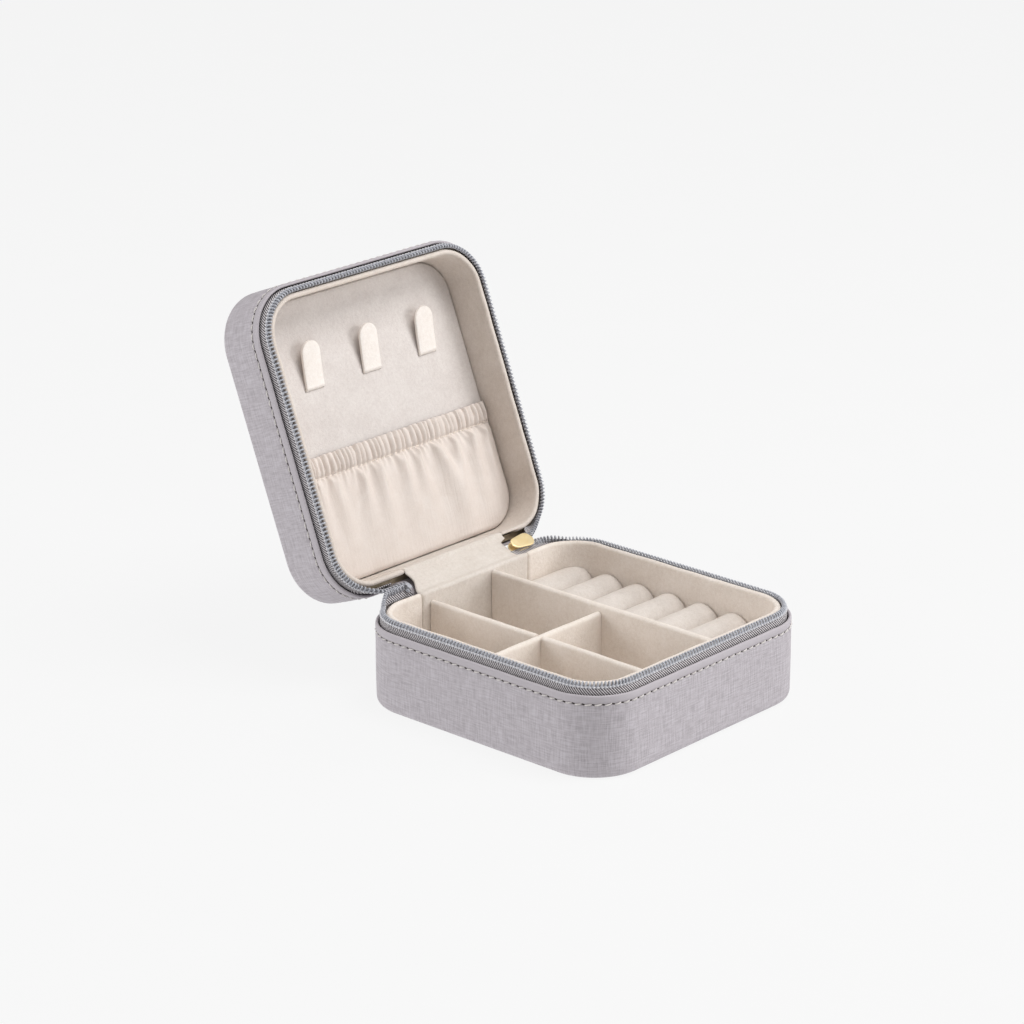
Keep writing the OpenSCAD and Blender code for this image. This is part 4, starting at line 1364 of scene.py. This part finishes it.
def hinge_lining():
    lid_rim = 2 * PART - 29.0
    rim_b = np.array([(45.78 - 1.06 * math.cos(a), 28.35 + 1.0 * math.sin(a)) for a in np.radians(np.linspace(4, 112, 12))])
    rim_l = np.array([opened(45.95 - 0.95 * math.cos(a), 30.95 - 0.9 * math.sin(a)) for a in np.radians(np.linspace(112, 4, 12))])
    span = bez(rim_b[-1], rim_b[-1] + np.array([1.9, -0.55]), rim_l[0] - np.array([2.6, 0.9]), rim_l[0], np.linspace(0, 1, 30))
    br = np.concatenate([rim_b, span[1:-1], rim_l])
    base_wall = np.stack([np.full(30, 44.72), np.linspace(2.9, 28.3, 30)], -1)
    zl = np.linspace(31.05, 45.8, 18)
    lid_wall = np.array([opened(45.0, z) for z in zl])
    path, t = resample(np.concatenate([base_wall, br, lid_wall]), 0.42)
    # three faint ribs along the bridge
    D = np.gradient(path, axis=0)
    D /= np.linalg.norm(D, axis=1)[:, None]
    N = np.stack([D[:, 1], -D[:, 0]], -1)        # towards the strip's back
    t_b0 = t[np.argmin(np.hypot(*(path - br[0]).T))]
    t_b1 = t[np.argmin(np.hypot(*(path - br[-1]).T))]
    q = (t - t_b0) / (t_b1 - t_b0)
    rib = np.zeros_like(t)
    for c, a in ((0.36, 0.10), (0.52, 0.12), (0.68, 0.10)):
        rib += a * np.exp(-((q - c) / 0.055) ** 2)
    rib -= 0.06 * np.exp(-((q - 0.22) / 0.05) ** 2) + 0.06 * np.exp(-((q - 0.67) / 0.05) ** 2)
    thick = np.interp(q, [-3, -0.05, 0.1, 0.2, 0.8, 0.9, 1.05, 3], [1.95, 1.9, 0.95, 0.8, 0.8, 0.85, 1.6, 1.65])
    front = path - N * rib[:, None]
    back = path + N * thick[:, None]
    w = 2 * STRIP
    cols = np.concatenate([[-STRIP, -STRIP + 0.08, -STRIP + 0.3, -STRIP + 0.7], np.linspace(-STRIP + 1.6, STRIP - 1.6, 30),
                           [STRIP - 0.7, STRIP - 0.3, STRIP - 0.08, STRIP]])
    n, J = len(cols), len(path)
    near = np.minimum(cols + STRIP, STRIP - cols)
    rolled = np.clip(1 - near / 0.7, 0, 1) ** 2 * 0.42
    wave = noise1(91, 2 * STRIP, 5, 1)
    F = np.zeros((n, J, 3))
    B = np.zeros((n, J, 3))
    bridge_only = smooth01((q + 0.1) / 0.2) * smooth01((1.1 - q) / 0.2)
    for i, x in enumerate(cols):
        sh = rolled[i] * thick
        wv = 0.05 * wave(x) * bridge_only
        f = front + N * (sh + wv)[:, None]
        # thinner at the right end, where it lies over the parked slider
        thin = 0.66 * smooth01((x - 19.4) / 1.5) * smooth01((q + 0.4) / 0.1) * smooth01((1.4 - q) / 0.1)
        bb = back - N * (sh + thin * (thick - sh))[:, None]
        F[i, :, 0] = B[i, :, 0] = x
        F[i, :, 1:], B[i, :, 1:] = f, bb
    # notch at the right end, where the slider parks
    keep = np.ones((n, J), bool)
    nx = cols > 21.2
    inb = (q > 0.06) & (q < 0.93)
    xlim = 21.15
    b_ = Builder()
    U = np.zeros((n, J, 2))
    U[..., 0], U[..., 1] = cols[:, None] * MM, t[None, :] * MM
    # pull the strip's right edge in along the notch instead of cutting faces away
    edge_in = smooth01((q - 0.08) / 0.08) * smooth01((0.80 - q) / 0.10)
    left_in = 4.0 * smooth01((q - 0.12) / 0.55)
    for i, x in enumerate(cols):
        if x > 10:
            s = (x - 10) / (STRIP - 10)
            nxp = 10 + s * (STRIP - 10 - 3.1 * edge_in)
            F[i, :, 0] = B[i, :, 0] = nxp
        if x < -12:
            s = (-x - 12) / (STRIP - 12)
            F[i, :, 0] = B[i, :, 0] = -12 - s * (STRIP - 12 - left_in)
    # hollow from behind beside the slider
    f0 = b_.grid(F, U)
    b0 = b_.grid(B, U)
    for j in range(J - 1):
        for i in (0, n - 1):
            b_.face([f0 + i * J + j, f0 + i * J + j + 1, b0 + i * J + j + 1, b0 + i * J + j], [tuple(U[i, j])] * 4)
    for i in range(n - 1):
        for j in (0, J - 1):
            b_.face([f0 + i * J + j, f0 + (i + 1) * J + j, b0 + (i + 1) * J + j, b0 + i * J + j], [tuple(U[i, j])] * 4)
    o = b_.make("hinge_lining_strip", M_HINGE, smooth=60)
    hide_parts("hinge_lining")
    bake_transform(o)
    return o


hinge_lining()


def hinge_spine():
    yo = 49.0
    br = strip_path((yo, 26.2), (yo, 32.8), 1.6, 40)
    bw = np.stack([np.full(10, yo), np.linspace(19.4, 26.1, 10)], -1)
    lw = np.array([opened(yo, z) for z in np.linspace(32.9, 39.6, 10)])
    path, t = resample(np.concatenate([bw, br, lw]), 0.3)
    D = np.gradient(path, axis=0)
    D /= np.linalg.norm(D, axis=1)[:, None]
    N = np.stack([D[:, 1], -D[:, 0]], -1)
    th = 0.42
    t0 = t[np.argmin(np.hypot(*(path - br[0]).T))]
    t1 = t[np.argmin(np.hypot(*(path - br[-1]).T))]
    q = (t - t0) / (t1 - t0)
    crease = 0.10 * np.exp(-((q - 0.5) / 0.06) ** 2) + 0.06 * np.exp(-((q - 0.2) / 0.05) ** 2) + 0.06 * np.exp(-((q - 0.8) / 0.05) ** 2)
    outer = path - N * crease[:, None]
    inner = path - N * (th + 0 * t)[:, None]
    cols = np.linspace(-26.5, 19.6, 40)
    n, J = len(cols), len(path)
    F, B = np.zeros((n, J, 3)), np.zeros((n, J, 3))
    for i, x in enumerate(cols):
        F[i, :, 0] = B[i, :, 0] = x
        F[i, :, 1:], B[i, :, 1:] = outer, inner
    U = np.zeros((n, J, 2))
    U[..., 0], U[..., 1] = cols[:, None] * MM, t[None, :] * MM
    W = U.copy()
    W[..., 1] = 0.02
    b_ = Builder()
    f0 = b_.grid(F, U, W)
    b0 = b_.grid(B, U, W)
    for j in range(J - 1):
        for i in (0, n - 1):
            b_.face([f0 + i * J + j, f0 + i * J + j + 1, b0 + i * J + j + 1, b0 + i * J + j], [tuple(U[i, j])] * 4, [(0, 0.02)] * 4)
    for i in range(n - 1):
        for j in (0, J - 1):
            b_.face([f0 + i * J + j, f0 + (i + 1) * J + j, b0 + (i + 1) * J + j, b0 + i * J + j], [tuple(U[i, j])] * 4, [(0, 0.02)] * 4)
    o = b_.make("hinge_spine_strip", M_LEATHER, smooth=60)
    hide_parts("hinge_spine")
    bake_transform(o)
    return o


hinge_spine()


# ---------------------------------------------------------------- slider, pull, stop
def slider_at(P):
    return turn(P, STURN, SY, SZ)


def outline(n=14):
    """Slider plate outline in (x, z): round shoulders at the right, narrower tail at the left."""
    pts = []
    r1, c1, r2, c2 = 2.6, 2.0, 2.1, -2.8
    for a in np.radians(np.linspace(-84, 84, n)):
        pts.append((c1 + r1 * math.cos(a), r1 * math.sin(a)))
    for x in np.linspace(1.4, -2.2, 4):
        pts.append((x, 2.6 - 0.42 * (1.4 - x) / 3.6))
    for a in np.radians(np.linspace(96, 264, n)):
        pts.append((c2 + r2 * math.cos(a), r2 * math.sin(a)))
    for x in np.linspace(-2.2, 1.4, 4):
        pts.append((x, -(2.6 - 0.42 * (1.4 - x) / 3.6)))
    return np.array(pts)


def lens_plate(b, pts, y0, y1, dome=0.0, bev=0.16, cx=0.0):
    """A plate between y0 and y1 with bevelled rims and a slightly domed outer face at y0."""
    sg = 1 if y1 > y0 else -1
    J = len(pts)
    c = np.array([cx, 0.0])
    rows = []
    for f, y in ((0.0, y0 - sg * dome), (0.35, y0 - sg * dome * 0.88), (0.65, y0 - sg * dome * 0.6), (0.86, y0 - sg * dome * 0.2), (0.94, y0),
                 (0.975, y0 + sg * bev * 0.3), (1.0, y0 + sg * bev), (1.0, y1 - sg * bev), (0.97, y1 - sg * 0.04), (0.9, y1), (0.0, y1)):
        q = c + (pts - c) * max(f, 0.02)
        rows.append(np.stack([26.6 + q[:, 0], np.full(J, 47.7 + y), 29.5 + q[:, 1]], -1))
    P = np.stack(rows, 0)
    U = np.zeros((len(rows), J + 1, 2))
    U[..., 0] = np.linspace(0, 0.02, J + 1)[None, :]
    U[..., 1] = np.linspace(0, 0.01, len(rows))[:, None]
    k = b.grid(slider_at(P), U, wrap_j=True)
    for i in (0, len(rows) - 1):
        b.face([k + i * J + j for j in range(J)], [(0, 0)] * J)


def block(b, x0, x1, y0, y1, z0, z1, place, bev=0.12):
    """A small bevelled bar."""
    xs = [x0, x0 + bev, x1 - bev, x1]
    pr = []
    for x in xs:
        i = bev if x in (x0, x1) else 0.0
        e = bev
        ring_ = [(y0 + i + e, z0 + i), (y1 - i - e, z0 + i), (y1 - i, z0 + i + e), (y1 - i, z1 - i - e),
                 (y1 - i - e, z1 - i), (y0 + i + e, z1 - i), (y0 + i, z1 - i - e), (y0 + i, z0 + i + e)]
        pr.append([(x, y, z) for y, z in ring_])
    P = np.array(pr)
    U = np.zeros((4, 9, 2))
    U[..., 0] = np.linspace(0, 0.003, 9)[None, :]
    k = b.grid(place(P), U, wrap_j=True)
    for i in (0, 3):
        b.face([k + i * 8 + j for j in range(8)], [(0, 0)] * 8)


def pin(b, x, y, z0, z1, r, place, n=20):
    a = np.linspace(0, 2 * PI, n + 1)[:-1]
    rows = []
    for f, z in ((0.7, z0), (1, z0 + 0.08), (1, z1 - 0.08), (0.7, z1)):
        rows.append(np.stack([x + r * f * np.cos(a), y + r * f * np.sin(a), np.full(n, z)], -1))
    P = np.stack(rows, 0)
    U = np.zeros((4, n + 1, 2))
    k = b.grid(place(P), U, wrap_j=True)
    for i in (0, 3):
        b.face([k + i * n + j for j in range(n)], [(0, 0)] * n)


b = Builder()
pts = outline()
lens_plate(b, pts, -1.40, -0.84, dome=0.10)
lens_plate(b, pts, 1.40, 0.84, dome=0.05)
# wedge between the coils
a = np.linspace(0, 2 * PI, 21)[:-1]
P = np.stack([np.stack([26.6 + 2.3 + 1.1 * np.cos(a), np.full(20, 47.7 + y), 29.5 + 0.62 * np.sin(a)], -1) for y in (-0.9, 0.9)], 0)
k = b.grid(slider_at(P), np.zeros((2, 21, 2)), wrap_j=True)
for i in (0, 1):
    b.face([k + i * 20 + j for j in range(20)], [(0, 0)] * 20)
for s in (-1, 1):
    block(b, 24.0, 28.4, 48.0, 48.65, 29.5 + s * 2.1 - 0.22, 29.5 + s * 2.1 + 0.22, slider_at)
# bridge that holds the pull: two posts with the pin running between their tops
for s in (-1, 1):
    block(b, 24.35, 26.45, 48.8, 52.55, 29.5 + s * 1.1 - 0.35, 29.5 + s * 1.1 + 0.35, slider_at, bev=0.18)
pin(b, 25.4, 52.0, 28.2, 30.8, 0.45, slider_at)
o = b.make("zip_slider_body", M_GOLD, smooth=35)
put(o, "slider", "gold", "zip_slider")


def pull_piece():
    b = Builder()
    px, py, pz = 25.4, 52.0, 29.5
    # eye round the pin
    n = 28
    a = np.linspace(0, 2 * PI, n + 1)[:-1]
    rows = []
    for r, z in ((0.54, -0.6), (1.02, -0.6), (1.15, -0.47), (1.15, 0.47), (1.02, 0.6), (0.54, 0.6)):
        rows.append(np.stack([px + r * np.cos(a), py + r * np.sin(a), np.full(n, pz + z)], -1))
    P = np.stack(rows, 0)
    J = n
    b.grid(slider_at(P), np.zeros((len(rows) + 1, n + 1, 2)), wrap_i=True, wrap_j=True)
    block(b, px - 0.5, px + 0.5, py + 0.95, py + 3.9, pz - 0.6, pz + 0.6, slider_at, bev=0.12)
    # tab, a little waisted, with a round end and a raised rim
    L0, L1, hw = 3.6, 19.0, 1.7
    ys = np.concatenate([[L0, L0 + 0.15, L0 + 0.5], np.linspace(L0 + 1.2, L1 - 1.7, 14), L1 - 1.7 + 1.7 * np.sin(np.linspace(0.15, PI / 2, 9))])
    rows = []
    for y in ys:
        w = hw * (1 - 0.16 * math.exp(-((y - 7.5) / 2.6) ** 2))
        if y < L0 + 1.2:
            w = min(w, 0.95 + (y - L0) * 0.65)
        if y > L1 - 1.7:
            w = 1.7 * math.sqrt(max(0.0006, 1 - ((y - (L1 - 1.7)) / 1.7) ** 2))
        t = 0.5
        e = min(0.14, w * 0.3)
        rim = min(0.42, w * 0.4)
        sec = [(-t + e, -w), (t - e, -w), (t, -w + e), (t, -w + rim), (t - 0.14, -w + rim + 0.12 * (w > 0.8)), (t - 0.14, w - rim - 0.12 * (w > 0.8)),
               (t, w - rim), (t, w - e), (t - e, w), (-t + e, w), (-t, w - e), (-t, w - rim), (-t + 0.14, w - rim - 0.12 * (w > 0.8)),
               (-t + 0.14, -w + rim + 0.12 * (w > 0.8)), (-t, -w + rim), (-t, -w + e)]
        rows.append([(px + u, py + y, pz + v) for u, v in sec])
    P = np.array(rows)
    k = b.grid(slider_at(P), np.zeros((len(ys), 17, 2)), wrap_j=True)
    for i in (0, len(ys) - 1):
        b.face([k + i * 16 + j for j in range(16)], [(0, 0)] * 16)
    o = b.make("zip_pull_tab", M_GOLD, smooth=35)
    return put(o, "pull", "gold", "zip_pull")


pull_piece()


def stop_piece():
    """Folded metal stop that grips both coils at the hinge end; it turns as the slider does."""
    b = Builder()
    xs = np.linspace(-26.6, -25.2, 5)
    prof = []
    for s in np.linspace(-1, 1, 13):
        a = s * PI * 0.5
        prof.append((0.98 * math.sin(a), 1.15 * math.cos(a) if abs(s) < 1 else 0.0))
    outer = [(1.02, -1.25)] + [(1.05 * math.cos(a), 1.35 * math.sin(a)) for a in np.linspace(0, PI, 13)] + [(-1.02, -1.25)]
    inner = [(-0.78, -1.25)] + [(-0.80 * math.cos(a), 1.10 * math.sin(a)) for a in np.linspace(0, PI, 13)] + [(0.78, -1.25)]
    sec = outer + inner
    P = np.array([[(x, 47.7 + y, 29.35 + z) for y, z in sec] for x in xs])
    J = len(sec)
    k = b.grid(slider_at(P), np.zeros((len(xs), J + 1, 2)), wrap_j=True)
    for i in (0, len(xs) - 1):
        b.face([k + i * J + j for j in range(J)], [(0, 0)] * J)
    o = b.make("zip_stop_clip", M_COIL, smooth=35)
    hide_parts("zip_stops")
    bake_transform(o)
    return o


stop_piece()

# ---------------------------------------------------------------- stage, light, camera
V = [(-3000, -3000, 0), (3000, -3000, 0), (3000, 3000, 0), (-3000, 3000, 0)]
floor = mesh_obj("floor", np.array(V, float) - np.array([0, 0, 0.02]), [(0, 1, 2, 3)], floor_mat("floor_white"))

scene = bpy.context.scene
scene.view_settings.view_transform = "Standard"
scene.view_settings.look = "None"
world = bpy.data.worlds.new("soft")
scene.world = world
world.use_nodes = True
wt = world.node_tree
bg = wt.nodes["Background"]
bg.inputs[0].default_value = (1, 1, 1, 1)
bg.inputs[1].default_value = 0.34


def area(name, loc, target, size, power, colour=(1, 1, 1)):
    l = bpy.data.lights.new(name, "AREA")
    l.shape = "RECTANGLE"
    l.size, l.size_y = size
    l.energy = power
    l.color = colour
    o = bpy.data.objects.new(name, l)
    scene.collection.objects.link(o)
    o.location = Vector(loc)
    o.rotation_mode = "QUATERNION"
    o.rotation_quaternion = (Vector(target) - Vector(loc)).to_track_quat("-Z", "Y")
    return o


area("left_box", (-0.85, 0.62, 0.34), (0, 0, 0.04), (0.5, 0.5), 4.3)
area("right_box", (0.66, -0.9, 0.42), (0, 0, 0.05), (0.55, 0.55), 5.8)
area("top_box", (0.12, -0.3, 0.92), (0, 0.0, 0.0), (0.5, 0.5), 5.5, (1, 0.99, 0.98))

cam_data = bpy.data.cameras.new("camera")
cam = bpy.data.objects.new("camera", cam_data)
scene.collection.objects.link(cam)
az, el, ro = math.radians(-47.659), math.radians(19.685), math.radians(-0.195)
back = Vector((math.sin(az) * math.cos(el), -math.cos(az) * math.cos(el), math.sin(el)))
right = (-back).cross(Vector((0, 0, 1))).normalized()
up = right.cross(-back)
r2 = right * math.cos(ro) + up * math.sin(ro)
u2 = up * math.cos(ro) - right * math.sin(ro)
pos = Vector((-0.032421, 0, 0.068964)) + back * 1.059645
cam.matrix_world = Matrix(((r2.x, u2.x, back.x, pos.x), (r2.y, u2.y, back.y, pos.y), (r2.z, u2.z, back.z, pos.z), (0, 0, 0, 1)))
cam_data.sensor_width = 36
cam_data.lens = 3586.17 / 1024 * 36
cam_data.clip_start, cam_data.clip_end = 0.05, 20
cam_data.dof.use_dof = False
scene.camera = cam
